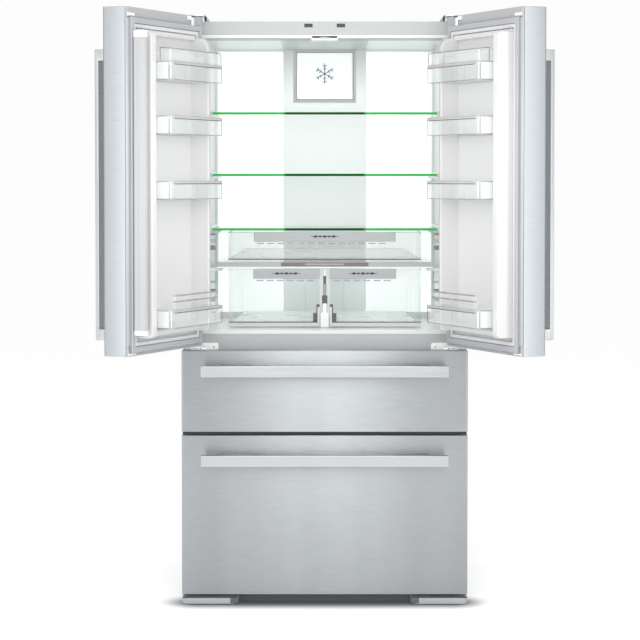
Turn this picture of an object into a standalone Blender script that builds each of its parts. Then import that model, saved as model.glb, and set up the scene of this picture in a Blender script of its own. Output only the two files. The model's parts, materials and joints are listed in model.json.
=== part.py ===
"""French door refrigerator: two hinged doors over two pull-out freezer drawers.

Built in metres with +Z up, the front facing -Y and the origin on the floor under the middle
of the whole object as it stands with both doors open.  Lengths along Y are first given from the
plane of the drawer fronts (Y = 0, positive towards the back), then everything hangs from one
empty that moves that plane to its place.  Door pieces are drawn in the closed position and hang
from an empty on their hinge axis, which turns them open.
"""

from math import cos, pi, radians, sin

import bmesh
import bpy
from mathutils import Matrix, Vector

# ---------------------------------------------------------------- driving dimensions
WIDTH = 0.905
HALF = WIDTH / 2
DEPTH = 0.730
CABINET_TOP = 1.851
CABINET_BOTTOM = 0.050
SHEET = 0.0015
FIT = 0.0003
GAP = 0.0005

FLANGE_Y = 0.100
FOAM_Y = 0.104
MOUTH_BACK_Y = 0.150
BACK_WALL_Y = 0.672
OPENING_HALF = 0.405
OPENING_LOW = 0.852
OPENING_TOP = 1.810
MOUTH_HALF = 0.395
CAVITY_HALF = 0.382
CAVITY_LOW = 0.863
CAVITY_TOP = 1.7985
LINER_WALL = 0.002

FREEZER_HALF = 0.386
FREEZER_LOW = 0.076
FREEZER_TOP = 0.792
FREEZER_BACK_Y = 0.600
EVAPORATOR_BACK_Y = 0.662
MACHINE_Y = 0.500
MACHINE_TOP = 0.300
RAIL_LOW = 0.534
RAIL_HIGH = 0.555
MIDDLE_Y = FLANGE_Y + 0.002
LEDGE_Y = 0.225
GUIDE_HALF = 0.043
GUIDE_LOW = 1.7935
COVER_HALF = 0.438
GLAND_X = -0.405
GLAND_Z = 0.255

DOOR_LOW = 0.819
DOOR_TOP = 1.862
DOOR_ANGLE = radians(116)
DOOR_GAP = 0.002
DOOR_STEEL = 0.078
DOOR_BACK_Y = 0.087
TRIM_INSET = 0.0128
HINGE_INSET = 0.022
HINGE_Y = 0.049
HINGE_X = HALF - HINGE_INSET
PIN_RADIUS = 0.005
GASKET_Y = FLANGE_Y - GAP
DIKE_Y = 0.1488
DIKE_OUTER_FREE = 0.036
DIKE_INNER_FREE = 0.066
DIKE_INNER_HINGE = 0.378
DIKE_OUTER_HINGE = 0.390
DIKE_LOW = 0.874
DIKE_TOP = 1.789

BIN_Y = 0.199
BIN_WALL = 0.0025
BIN_SIDE_PLAY = 0.002
BIN_TOPS = {"top": 1.700, "upper": 1.538, "middle": 1.343, "bottom": 0.957}
BIN_HEIGHT = 0.055
LID_PIVOT_Y = 0.106
LID_PIVOT_Z = 1.733
LID_TOP = 1.739
GASKET_FREE = 0.006
GASKET_HINGE = 0.4285
SEAL_LOW = 0.832
SEAL_TOP = 1.829
WINDOW_FREE = 0.030
WINDOW_HINGE = 0.4055
CAP_LOW = 0.850

MULLION_X = 0.0165
MULLION_Y = 0.1085
MULLION_THICK = 0.016
MULLION_LENGTH = 0.034
MULLION_LOW = 0.884
MULLION_TOP = 1.790

BAR_WIDTH = 0.036
BAR_THICK = 0.013
BAR_STANDOFF = 0.033
DOOR_BAR_SETBACK = 0.030
DOOR_BAR_LOW = 0.863
DOOR_BAR_TOP = 1.7385
POST = 0.034
DRAWER_BAR_HALF = 0.389
DRAWER_POST_X = 0.354

DRAWERS = {"upper": (0.5507, 0.8066, 0.745), "lower": (0.0335, 0.5387, 0.463)}
DRAWER_STEEL = 0.070
BASKETS = {"upper": (0.585, 0.755, 0.580), "lower": (0.095, 0.440, 0.460)}
BASKET_HALF = 0.362
BASKET_WALL = 0.003

SHELF_FRONT_Y = 0.212
SHELF_BACK_Y = 0.640
SHELF_HALF = 0.3715
SHELF_GLASS = 0.005
SHELF_HEIGHTS = (1.5625, 1.3625, 1.1855)
COVER_LOW = 1.0585
COVER_TOP = 1.079
DUCT_HALF = 0.1425
DUCT_Y = 0.652
VENT_HALF = 0.1085
VENT_LOW = 1.613
VENT_TOP = 1.7975
VENT_RIM = 0.010
CRISPER_HALF = 0.315
CRISPER_BACK_Y = 0.610
CRISPER_WALL = 0.003

FOOT_INNER = 0.2736
FOOT_TOP = 0.025
FOOT_X = 0.365
FOOT_Y = 0.070
ARM_LOW = 0.0265
ROLLER_X = 0.401
ROLLER_Y = 0.670
ROLLER_RADIUS = 0.020
FRAME_HALF = 0.446

# The open door's folded mullion reaches furthest forward, the back panel furthest back.
FREE_EDGE = HINGE_X - MULLION_X + MULLION_THICK / 2
MULLION_TIP = MULLION_Y + MULLION_LENGTH - HINGE_Y
DOOR_REACH = FREE_EDGE * sin(DOOR_ANGLE) - MULLION_TIP * cos(DOOR_ANGLE) - HINGE_Y
FRONT_PLANE_Y = (DOOR_REACH - DEPTH) / 2

COLOURS = {
    "painted_grey": ((0.62, 0.63, 0.64), 0.45, 0.0),
    "brushed_steel": ((0.60, 0.62, 0.64), 0.35, 1.0),
    "bright_steel": ((0.80, 0.81, 0.82), 0.25, 1.0),
    "zinc": ((0.55, 0.56, 0.57), 0.45, 1.0),
    "white_plastic": ((0.90, 0.91, 0.91), 0.40, 0.0),
    "grey_plastic": ((0.60, 0.61, 0.62), 0.50, 0.0),
    "dark_plastic": ((0.09, 0.09, 0.10), 0.60, 0.0),
    "clear_plastic": ((0.88, 0.92, 0.92), 0.15, 0.0),
    "glass": ((0.75, 0.92, 0.82), 0.05, 0.0),
    "gasket": ((0.50, 0.51, 0.52), 0.70, 0.0),
    "foam": ((0.85, 0.80, 0.62), 0.95, 0.0),
    "black_paint": ((0.03, 0.03, 0.03), 0.50, 0.0),
}


# ---------------------------------------------------------------- tools
def clear_scene():
    for obj in list(bpy.data.objects):
        bpy.data.objects.remove(obj, do_unlink=True)


def new_collection(name):
    group = bpy.data.collections.new(name)
    bpy.context.scene.collection.children.link(group)
    return group


def material(name):
    found = bpy.data.materials.get(name)
    if found:
        return found
    colour, roughness, metallic = COLOURS[name]
    made = bpy.data.materials.new(name)
    made.use_nodes = True
    shader = made.node_tree.nodes["Principled BSDF"]
    shader.inputs["Base Color"].default_value = (*colour, 1)
    shader.inputs["Roughness"].default_value = roughness
    shader.inputs["Metallic"].default_value = metallic
    return made


def hang(obj, parent):
    """Parent obj without moving it from where it stands while parent is unturned."""
    obj.parent = parent
    if parent is not BASE:
        obj.matrix_parent_inverse = Matrix.Translation(-parent.location)


def empty(name, place, parent=None, turn=0.0):
    obj = bpy.data.objects.new(name, None)
    obj.location = place
    obj.rotation_euler = (0, 0, turn)
    PARTS.objects.link(obj)
    obj.parent = parent
    return obj


def part(name, bm, colour, parent=None):
    mesh = bpy.data.meshes.new(name)
    bm.to_mesh(mesh)
    bm.free()
    obj = bpy.data.objects.new(name, mesh)
    PARTS.objects.link(obj)
    mesh.materials.append(material(colour))
    hang(obj, parent or BASE)
    return obj


def tool(target, bm, operation):
    """Cut bm out of target, or join it on, with a Boolean modifier."""
    mesh = bpy.data.meshes.new("tool")
    bm.to_mesh(mesh)
    bm.free()
    obj = bpy.data.objects.new(target.name + "_tool", mesh)
    CUTTERS.objects.link(obj)
    obj.hide_render = True
    obj.display_type = "WIRE"
    obj.parent = target.parent
    obj.matrix_parent_inverse = target.matrix_parent_inverse.copy()
    boolean = target.modifiers.new(operation.lower(), "BOOLEAN")
    boolean.operation = operation
    boolean.solver = "EXACT"
    boolean.object = obj


def cut(target, bm):
    tool(target, bm, "DIFFERENCE")


def join(target, bm):
    tool(target, bm, "UNION")


def bevel(obj, width, segments=2, angle=60):
    rounding = obj.modifiers.new("rounding", "BEVEL")
    rounding.width = width
    rounding.segments = segments
    rounding.limit_method = "ANGLE"
    rounding.angle_limit = radians(angle)


def block(x, y, z):
    """A box between the given low and high values on each axis."""
    spans = [(min(pair), max(pair)) for pair in (x, y, z)]
    bm = bmesh.new()
    bmesh.ops.create_cube(bm, size=1)
    size = [high - low for low, high in spans]
    middle = Vector([(low + high) / 2 for low, high in spans])
    bmesh.ops.scale(bm, vec=size, verts=bm.verts)
    bmesh.ops.translate(bm, vec=middle, verts=bm.verts)
    return bm


def rounded_block(x, y, z, radius, axis, segments=3):
    """A box whose edges along one axis are rounded."""
    bm = block(x, y, z)
    edges = []
    for edge in bm.edges:
        along = edge.verts[1].co - edge.verts[0].co
        if abs(along[axis]) > 0.999 * along.length:
            edges.append(edge)
    bmesh.ops.bevel(bm, geom=edges, offset=radius, segments=segments, affect="EDGES", profile=0.5)
    return bm


def rod(radius, start, end, sides=16):
    """A round bar between two points."""
    start, end = Vector(start), Vector(end)
    along = end - start
    bm = bmesh.new()
    bmesh.ops.create_cone(
        bm,
        cap_ends=True,
        segments=sides,
        radius1=radius,
        radius2=radius,
        depth=along.length,
    )
    turn = Vector((0, 0, 1)).rotation_difference(along).to_matrix().to_4x4()
    bmesh.ops.transform(bm, matrix=Matrix.Translation((start + end) / 2) @ turn, verts=bm.verts)
    return bm


def prism(outline, low, high):
    """A flat outline in X and Y, raised from one height to another."""
    bm = bmesh.new()
    face = bm.faces.new([bm.verts.new((x, y, low)) for x, y in outline])
    raised = bmesh.ops.extrude_face_region(bm, geom=[face])
    top = [item for item in raised["geom"] if isinstance(item, bmesh.types.BMVert)]
    bmesh.ops.translate(bm, vec=(0, 0, high - low), verts=top)
    bmesh.ops.recalc_face_normals(bm, faces=bm.faces)
    return bm


def arc(centre, radius, start, end, steps):
    return [
        (
            centre[0] + radius * cos(start + (end - start) * i / steps),
            centre[1] + radius * sin(start + (end - start) * i / steps),
        )
        for i in range(steps + 1)
    ]


def tray(obj, x, y, z, wall):
    """Hollow a block into a tray that is open at the top."""
    inside_x = (min(x) + wall, max(x) - wall)
    cut(obj, block(inside_x, (y[0] + wall, y[1] - wall), (z[0] + wall, z[1] + wall)))


# ---------------------------------------------------------------- cabinet
def cabinet_shell():
    """Painted sheet wrap with a front flange, a middle rail and a rail between the drawers."""
    shell = part(
        "cabinet_shell",
        block((-HALF, HALF), (FLANGE_Y, DEPTH - 0.0022), (CABINET_BOTTOM, CABINET_TOP)),
        "painted_grey",
    )
    inner = HALF - SHEET
    hollow_z = (CABINET_BOTTOM - 0.01, CABINET_TOP - SHEET)
    cut(shell, block((-inner, inner), (FLANGE_Y + SHEET, DEPTH), hollow_z))
    front = (FLANGE_Y - 0.01, FLANGE_Y + 0.01)
    cut(shell, block((-OPENING_HALF, OPENING_HALF), front, (OPENING_LOW, OPENING_TOP)))
    freezer = FREEZER_HALF + 0.006
    cut(shell, block((-freezer, freezer), front, (FREEZER_LOW - 0.004, RAIL_LOW)))
    cut(shell, block((-freezer, freezer), front, (RAIL_HIGH, FREEZER_TOP + 0.004)))


def insulation_foam():
    """Foamed core between the wrap and both liners, with the machine room left free."""
    foam = part(
        "insulation_foam",
        block(
            (-HALF + 0.002, HALF - 0.002),
            (FOAM_Y, DEPTH - 0.0028),
            (CABINET_BOTTOM + 0.0025, CABINET_TOP - 0.002),
        ),
        "foam",
    )
    side = LINER_WALL + FIT
    cut(
        foam,
        block(
            (-CAVITY_HALF - side, CAVITY_HALF + side),
            (FOAM_Y - 0.01, BACK_WALL_Y + side),
            (CAVITY_LOW - side, CAVITY_TOP + side),
        ),
    )
    cut(
        foam,
        block(
            (-MOUTH_HALF - side, MOUTH_HALF + side),
            (FOAM_Y - 0.01, MOUTH_BACK_Y + side),
            (CAVITY_LOW - side, CAVITY_TOP + side),
        ),
    )
    cut(
        foam,
        block(
            (-FREEZER_HALF - side, FREEZER_HALF + side),
            (FOAM_Y - 0.01, MACHINE_Y - 0.03 + side),
            (FREEZER_LOW - side, FREEZER_TOP + side),
        ),
    )
    cut(
        foam,
        block(
            (-FREEZER_HALF - side, FREEZER_HALF + side),
            (FOAM_Y, EVAPORATOR_BACK_Y),
            (MACHINE_TOP + 0.04 - side, FREEZER_TOP + side),
        ),
    )
    cut(foam, block((-0.44, 0.44), (MACHINE_Y, DEPTH + 0.01), (0.04, MACHINE_TOP)))


def fridge_liner():
    """White liner of the fresh food room with its mouth, shelf ledges and mullion guide."""
    wall = LINER_WALL
    liner = part(
        "fridge_liner",
        block(
            (-CAVITY_HALF - wall, CAVITY_HALF + wall),
            (FLANGE_Y + 0.0025, BACK_WALL_Y + wall),
            (CAVITY_LOW - wall, CAVITY_TOP + wall),
        ),
        "white_plastic",
    )
    join(
        liner,
        block(
            (-MOUTH_HALF - wall, MOUTH_HALF + wall),
            (MIDDLE_Y, MOUTH_BACK_Y + wall),
            (CAVITY_LOW - wall, CAVITY_TOP + wall),
        ),
    )
    lip = OPENING_HALF - GAP
    join(
        liner,
        block((-lip, lip), (FLANGE_Y + GAP, FLANGE_Y + 0.0035), (OPENING_LOW + GAP, OPENING_TOP - GAP)),
    )
    cut(
        liner,
        block((-CAVITY_HALF, CAVITY_HALF), (FLANGE_Y - 0.01, BACK_WALL_Y), (CAVITY_LOW, CAVITY_TOP)),
    )
    cut(
        liner,
        block((-MOUTH_HALF, MOUTH_HALF), (FLANGE_Y - 0.01, MOUTH_BACK_Y), (CAVITY_LOW, CAVITY_TOP)),
    )
    for height in SHELF_HEIGHTS:
        for side in (-1, 1):
            ledge_x = (side * 0.360, side * (CAVITY_HALF + wall / 2))
            ledge_z = (height - SHELF_GLASS / 2 - 0.009, height - SHELF_GLASS / 2 - FIT)
            join(liner, block(ledge_x, (LEDGE_Y, SHELF_BACK_Y), ledge_z))
    for side in (-1, 1):
        ledge_x = (side * 0.338, side * (CAVITY_HALF + wall / 2))
        join(liner, block(ledge_x, (LEDGE_Y, SHELF_BACK_Y), (COVER_LOW - 0.0095, COVER_LOW - FIT)))
    guide_z = (GUIDE_LOW, CAVITY_TOP + wall / 2)
    join(liner, block((-GUIDE_HALF, GUIDE_HALF), (FLANGE_Y + 0.004, MOUTH_BACK_Y), guide_z))


def freezer_liner():
    """White liner of the freezer room, stepped over the machine room, with a rail across its mouth."""
    wall = LINER_WALL
    step_y = MACHINE_Y - 0.03
    step_z = MACHINE_TOP + 0.04
    liner = part(
        "freezer_liner",
        block(
            (-FREEZER_HALF - wall, FREEZER_HALF + wall),
            (MIDDLE_Y, step_y + wall),
            (FREEZER_LOW - wall, FREEZER_TOP + wall),
        ),
        "white_plastic",
    )
    join(
        liner,
        block(
            (-FREEZER_HALF - wall, FREEZER_HALF + wall),
            (FLANGE_Y + 0.10, FREEZER_BACK_Y + wall),
            (step_z - wall, FREEZER_TOP + wall),
        ),
    )
    inside = (-FREEZER_HALF, FREEZER_HALF)
    cut(liner, block(inside, (FLANGE_Y - 0.01, step_y), (FREEZER_LOW, FREEZER_TOP)))
    cut(liner, block(inside, (FLANGE_Y + 0.05, FREEZER_BACK_Y), (step_z, FREEZER_TOP)))
    rail_x = (-FREEZER_HALF - wall / 2, FREEZER_HALF + wall / 2)
    join(liner, block(rail_x, (MIDDLE_Y, MOUTH_BACK_Y), (RAIL_LOW - 0.002, RAIL_HIGH + 0.002)))


def back_and_base():
    """Back sheet, machine cover with vents, base frame and kick plate."""
    part(
        "back_panel",
        block((-HALF + 0.004, HALF - 0.004), (DEPTH - 0.0012, DEPTH), (MACHINE_TOP, CABINET_TOP - 0.004)),
        "zinc",
    )
    cover = part(
        "machine_cover",
        block((-COVER_HALF, COVER_HALF), (DEPTH - 0.006, DEPTH - 0.003), (0.056, MACHINE_TOP - 0.004)),
        "dark_plastic",
    )
    for side in (-1, 1):
        for row in range(6):
            z = 0.110 + 0.026 * row
            slot = (side * 0.150, side * 0.370)
            cut(cover, block(slot, (DEPTH - 0.02, DEPTH + 0.01), (z, z + 0.010)))
    join(cover, rod(0.013, (GLAND_X, DEPTH - 0.005, GLAND_Z), (GLAND_X, DEPTH, GLAND_Z), 16))
    cut(cover, rod(0.006, (GLAND_X, DEPTH - 0.02, GLAND_Z), (GLAND_X, DEPTH + 0.01, GLAND_Z), 12))
    frame = part("base_frame", block((-FRAME_HALF, FRAME_HALF), (0.108, 0.720), (0.0462, 0.0495)), "zinc")
    for side in (-1, 1):
        arm = (side * 0.330, side * FRAME_HALF)
        join(frame, block(arm, (0.109, 0.113), (ARM_LOW, 0.047)))
        join(frame, block(arm, (0.040, 0.111), (ARM_LOW, ARM_LOW + 0.003)))
        for ear in (ROLLER_X - 0.015, ROLLER_X + 0.012):
            ear_x = (side * ear, side * (ear + 0.003))
            join(frame, block(ear_x, (ROLLER_Y - 0.016, ROLLER_Y + 0.016), (0.012, 0.048)))
        cut(frame, rod(0.0065, (side * FOOT_X, FOOT_Y, 0.02), (side * FOOT_X, FOOT_Y, 0.06)))
        axle = (side * (ROLLER_X - 0.013), ROLLER_Y, ROLLER_RADIUS)
        join(frame, rod(0.004, axle, (side * (ROLLER_X + 0.014), ROLLER_Y, ROLLER_RADIUS), 12))
    inner = FOOT_INNER - GAP
    plate = part(
        "kickplate",
        block((-inner, inner), (0.030, 0.034), (0.004, 0.0290)),
        "dark_plastic",
    )
    join(plate, block((-inner, inner), (0.030, 0.104), (0.0262, 0.0290)))


def feet():
    """Foot covers, levelling feet with threaded stems, and rear rollers."""
    for name, side in (("left", -1), ("right", 1)):
        x = (side * FOOT_INNER, side * (HALF - 0.0005))
        cover = part(
            "foot_cover_" + name,
            rounded_block(x, (0.0005, 0.105), (0.0025, FOOT_TOP), 0.018, 2, 4),
            "grey_plastic",
        )
        inside = (side * (FOOT_INNER + 0.004), side * (HALF - 0.0045))
        cut(cover, rounded_block(inside, (0.0045, 0.101), (-0.01, FOOT_TOP - 0.003), 0.014, 2, 4))
        cut(cover, rod(0.0075, (side * FOOT_X, FOOT_Y, 0), (side * FOOT_X, FOOT_Y, 0.05)))
        foot = part(
            "levelling_foot_" + name,
            rod(0.022, (side * FOOT_X, FOOT_Y, 0), (side * FOOT_X, FOOT_Y, 0.012), 24),
            "dark_plastic",
        )
        join(foot, rod(0.0055, (side * FOOT_X, FOOT_Y, 0.008), (side * FOOT_X, FOOT_Y, 0.0325), 12))
        roller = part(
            "rear_roller_" + name,
            rod(
                ROLLER_RADIUS,
                (side * (ROLLER_X - 0.011), ROLLER_Y, ROLLER_RADIUS),
                (side * (ROLLER_X + 0.011), ROLLER_Y, ROLLER_RADIUS),
                32,
            ),
            "dark_plastic",
        )
        bore = (side * (ROLLER_X - 0.021), ROLLER_Y, ROLLER_RADIUS)
        cut(roller, rod(0.0046, bore, (side * (ROLLER_X + 0.019), ROLLER_Y, ROLLER_RADIUS), 12))


def hinges():
    """Fixed hinge brackets with their pins, above and below each door."""
    for name, side in (("left", -1), ("right", 1)):
        pin = (side * HINGE_X, HINGE_Y)
        top = part(
            "top_hinge_" + name,
            rounded_block((side * 0.376, side * 0.4445), (0.035, 0.200), (1.8635, 1.8665), 0.008, 2),
            "bright_steel",
        )
        join(top, block((side * 0.380, side * 0.440), (0.106, 0.196), (CABINET_TOP + FIT, 1.864)))
        join(top, rod(PIN_RADIUS, (*pin, 1.834), (*pin, 1.865)))
        plate_x = (side * 0.341, side * 0.430)
        lower = part(
            "mid_hinge_" + name,
            rounded_block(plate_x, (0.0965, FLANGE_Y - FIT), (0.7985, 0.8240), 0.006, 1),
            "white_plastic",
        )
        join(lower, block((side * 0.400, side * 0.4445), (0.036, 0.098), (0.8100, 0.8150)))
        join(lower, rod(PIN_RADIUS, (*pin, 0.812), (*pin, 0.845)))


def interior():
    """Air duct, vent cover, glass shelves, crisper cover and divider."""
    duct = part(
        "air_duct_panel",
        block((-DUCT_HALF, DUCT_HALF), (DUCT_Y, BACK_WALL_Y - FIT), (0.870, 1.7975)),
        "white_plastic",
    )
    for height in SHELF_HEIGHTS[1:]:
        for side in (-1, 1):
            outlet = (side * (DUCT_HALF - 0.010), side * (DUCT_HALF + 0.010))
            cut(duct, block(outlet, (0.656, 0.668), (height + 0.060, height + 0.110)))
    vent = part(
        "vent_cover",
        block((-VENT_HALF, VENT_HALF), (0.6405, DUCT_Y - FIT), (VENT_LOW, VENT_TOP)),
        "grey_plastic",
    )
    recess = VENT_HALF - VENT_RIM
    cut(vent, block((-recess, recess), (0.630, 0.6435), (VENT_LOW + VENT_RIM, VENT_TOP - VENT_RIM)))
    for number, height in enumerate(SHELF_HEIGHTS, start=1):
        glass_z = (height - SHELF_GLASS / 2, height + SHELF_GLASS / 2)
        shelf = part(
            f"glass_shelf_{number}",
            rounded_block((-SHELF_HALF, SHELF_HALF), (SHELF_FRONT_Y, SHELF_BACK_Y), glass_z, 0.012, 2),
            "glass",
        )
        bevel(shelf, 0.0008, 1)
    cover = part(
        "crisper_cover",
        block((-0.352, 0.352), (SHELF_FRONT_Y, SHELF_BACK_Y), (COVER_LOW, COVER_TOP)),
        "clear_plastic",
    )
    cut(cover, block((-0.335, 0.335), (0.228, 0.625), (COVER_LOW - 0.01, COVER_TOP - 0.0055)))
    divider = part(
        "crisper_divider",
        block((-0.004, 0.004), (0.224, 0.625), (0.8635, COVER_LOW - GAP)),
        "white_plastic",
    )
    join(divider, block((-0.0075, 0.0075), (0.222, 0.625), (0.8634, 0.940)))
    join(divider, block((-0.0137, 0.0137), (0.220, 0.625), (0.8633, 0.913)))


def crisper(name, x, z, grip_x, grip_z):
    """Clear drawer with a grip strip across the top of its front."""
    y = (0.216, CRISPER_BACK_Y)
    body = part(name, rounded_block(x, y, z, 0.012, 2, 2), "clear_plastic")
    tray(body, x, y, z, CRISPER_WALL)
    join(body, block(grip_x, (0.206, 0.2175), grip_z))


def crispers():
    upper_x = (-CRISPER_HALF, CRISPER_HALF)
    crisper("crisper_upper", upper_x, (1.0855, 1.177), (-0.230, 0.230), (1.146, 1.1765))
    for name, side in (("left", -1), ("right", 1)):
        lower_x = (side * 0.016, side * CRISPER_HALF)
        grip_x = (side * 0.0175, side * 0.232)
        crisper("crisper_lower_" + name, lower_x, (0.868, 1.052), grip_x, (1.025, 1.0565))


def machinery():
    """Compressor with its mounting plate, evaporator and its fan."""
    bm = bmesh.new()
    bmesh.ops.create_uvsphere(bm, u_segments=20, v_segments=12, radius=1)
    bmesh.ops.scale(bm, vec=(0.100, 0.078, 0.092), verts=bm.verts)
    bmesh.ops.translate(bm, vec=(0.180, 0.612, 0.160), verts=bm.verts)
    compressor = part("compressor", bm, "black_paint")
    join(compressor, block((0.090, 0.270), (0.540, 0.690), (0.070, 0.080)))
    for x in (0.110, 0.250):
        for y in (0.556, 0.672):
            join(compressor, rod(0.011, (x, y, 0.0498), (x, y, 0.075), 12))
    coil_z = (0.400, 0.640)
    coil = part("evaporator", block((-0.240, 0.240), (0.612, 0.655), coil_z), "zinc")
    for fin in range(16):
        x = -0.225 + 0.030 * fin
        cut(coil, block((x - 0.010, x + 0.010), (0.600, 0.626), (0.390, 0.650)))
        cut(coil, block((x - 0.010, x + 0.010), (0.641, 0.670), (0.390, 0.650)))
    fan_y, fan_z = 0.632, 0.720
    hub = rod(0.018, (0, fan_y - 0.012, fan_z), (0, fan_y + 0.012, fan_z), 20)
    fan = part("evaporator_fan", hub, "dark_plastic")
    for blade in range(5):
        bm = block((-0.013, 0.013), (-0.001, 0.001), (0.012, 0.050))
        turn = Matrix.Rotation(2 * pi * blade / 5, 4, "Y") @ Matrix.Rotation(radians(30), 4, "Z")
        bmesh.ops.transform(bm, matrix=Matrix.Translation((0, fan_y, fan_z)) @ turn, verts=bm.verts)
        join(fan, bm)


# ---------------------------------------------------------------- doors
def door_skin(name, side, axle):
    """Steel wrap: front face and both edges, folded from one sheet."""
    x = (side * DOOR_GAP, side * HALF)
    skin = part(
        name + "_door_skin",
        rounded_block(x, (0, 0.12), (DOOR_LOW, DOOR_TOP), 0.006, 2, 3),
        "brushed_steel",
        axle,
    )
    pocket = (side * (DOOR_GAP + SHEET), side * (HALF - SHEET))
    cut(skin, block((-1, 1), (DOOR_STEEL, 0.2), (0, 3)))
    cut(skin, rounded_block(pocket, (SHEET, 0.3), (0, 3), 0.005, 2, 2))


def door_frame(name, side, axle):
    """Grey plastic end caps joined by the strips that hold the gasket."""
    edge = SHEET + GAP
    ring_x = (side * (DOOR_GAP + TRIM_INSET), side * (HALF - TRIM_INSET))
    ring_y = (DOOR_STEEL + GAP, DOOR_BACK_Y)
    ring = block(ring_x, ring_y, (DOOR_LOW + 0.001, DOOR_TOP - 0.001))
    frame = part(name + "_door_frame", ring, "grey_plastic", axle)
    window = (side * WINDOW_FREE, side * WINDOW_HINGE)
    cut(frame, block(window, (0, 0.2), (0.8575, 1.8035)))
    cap_x = (side * (DOOR_GAP + edge), side * (HALF - edge))
    cap_y = (0.0075, DOOR_BACK_Y - 0.001)
    join(frame, block(cap_x, cap_y, (DOOR_LOW + 0.001, CAP_LOW)))
    join(frame, block(cap_x, cap_y, (SEAL_TOP, DOOR_TOP - 0.001)))
    pin = (side * HINGE_X, HINGE_Y)
    cut(frame, rod(PIN_RADIUS + 0.0006, (*pin, 0.80), (*pin, 0.8475), 24))
    cut(frame, rod(PIN_RADIUS + 0.0006, (*pin, 1.8315), (*pin, 1.90), 24))


def door_liner(name, side, axle):
    """White inner panel with a dike on each side that carries the bins."""
    plate_x = (side * (WINDOW_FREE + GAP), side * (WINDOW_HINGE - GAP))
    liner = part(
        name + "_door_liner",
        block(plate_x, (DOOR_STEEL + GAP, DOOR_BACK_Y - FIT), (0.858, 1.803)),
        "white_plastic",
        axle,
    )
    back_y = DOOR_BACK_Y - 0.002
    join(
        liner,
        rounded_block(
            (side * DIKE_OUTER_FREE, side * DIKE_OUTER_HINGE),
            (back_y, 0.100),
            (DIKE_LOW, DIKE_TOP),
            0.010,
            1,
        ),
    )
    field = (side * 0.052, side * 0.384)
    cut(liner, block(field, (DOOR_BACK_Y, 0.2), (DIKE_LOW + 0.012, DIKE_TOP - 0.012)))
    for low, high in ((DIKE_OUTER_FREE, DIKE_INNER_FREE), (DIKE_INNER_HINGE, DIKE_OUTER_HINGE)):
        join(liner, block((side * low, side * high), (back_y, DIKE_Y), (DIKE_LOW, DIKE_TOP)))


def door_gasket(name, side, axle):
    """Magnetic seal around the liner."""
    x = (side * GASKET_FREE, side * GASKET_HINGE)
    ring = block(x, (DOOR_BACK_Y + FIT, GASKET_Y), (SEAL_LOW, SEAL_TOP))
    gasket = part(name + "_door_gasket", ring, "gasket", axle)
    cut(gasket, block((side * 0.0225, side * 0.4060), (0, 0.2), (0.8515, 1.8095)))


def door_handle(name, side, axle):
    """Flat upright bar on a block at each end."""
    x = (side * DOOR_BAR_SETBACK, side * (DOOR_BAR_SETBACK + BAR_WIDTH))
    y = (-BAR_STANDOFF - BAR_THICK, -BAR_STANDOFF)
    handle = part(name + "_door_handle", block(x, y, (DOOR_BAR_LOW, DOOR_BAR_TOP)), "bright_steel", axle)
    for low in (DOOR_BAR_LOW, DOOR_BAR_TOP - POST):
        join(handle, block(x, (-BAR_STANDOFF - 0.002, -FIT), (low, low + POST)))
    bevel(handle, 0.001, 1)


def bin_span(side):
    low = DIKE_INNER_FREE + BIN_SIDE_PLAY
    high = DIKE_INNER_HINGE - BIN_SIDE_PLAY
    return (side * low, side * high)


def door_bin(name, side, level, axle):
    """Clear bin held between the dikes, with a thicker rail along its front edge."""
    x = bin_span(side)
    y = (DOOR_BACK_Y + 0.002, BIN_Y)
    top = BIN_TOPS[level]
    z = (top - BIN_HEIGHT, top)
    holder = part(f"{name}_bin_{level}", rounded_block(x, y, z, 0.014, 2, 3), "clear_plastic", axle)
    inside_x = (min(x) + BIN_WALL, max(x) - BIN_WALL)
    inside_y = (y[0] + BIN_WALL, y[1] - BIN_WALL)
    cut(holder, rounded_block(inside_x, inside_y, (z[0] + BIN_WALL, z[1] + 0.1), 0.0115, 2, 3))
    if level == "bottom":
        for end in (min(x) + 0.020, max(x) - 0.024):
            join(holder, block((end, end + 0.004), (y[1] - 0.012, y[1] - 0.001), (top - 0.010, 1.003)))
        for height in (0.982, 1.000):
            start = (min(x) + 0.022, y[1] - 0.0065, height)
            join(holder, rod(0.002, start, (max(x) - 0.022, y[1] - 0.0065, height), 8))


def dairy_lid(name, side, axle):
    """Clear flap over the top bin that lifts about its back edge."""
    x = bin_span(side)
    pivot = empty(name + "_lid_pivot", (side * HINGE_X, LID_PIVOT_Y, LID_PIVOT_Z))
    pivot.parent = axle
    pivot.matrix_parent_inverse = Matrix.Translation(-axle.location)
    low_z = BIN_TOPS["top"] + 0.002
    cover = block(x, (LID_PIVOT_Y - 0.004, BIN_Y - 0.002), (low_z, LID_TOP))
    lid = part(name + "_bin_lid", cover, "clear_plastic", pivot)
    inside_x = (min(x) + 0.002, max(x) - 0.002)
    cut(lid, block(inside_x, (0.05, BIN_Y - 0.0045), (low_z - 0.01, LID_TOP - 0.0025)))
    cut(lid, block((-1, 1), (0.05, LID_PIVOT_Y + 0.030), (low_z - 0.01, LID_PIVOT_Z - 0.004)))


def mullion(axle):
    """Flip bar on the left door that closes the gap between the doors."""
    pivot = empty("mullion_pivot", (-MULLION_X, MULLION_Y, 0))
    pivot.parent = axle
    pivot.matrix_parent_inverse = Matrix.Translation(-axle.location)
    half = MULLION_THICK / 2
    tip = MULLION_Y + MULLION_LENGTH
    outline = [(-MULLION_X + half, tip), (-MULLION_X - half, tip)]
    outline += arc((-MULLION_X, MULLION_Y), half, pi, 2 * pi, 8)
    part("mullion", prism(outline, MULLION_LOW, MULLION_TOP), "grey_plastic", pivot)


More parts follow.
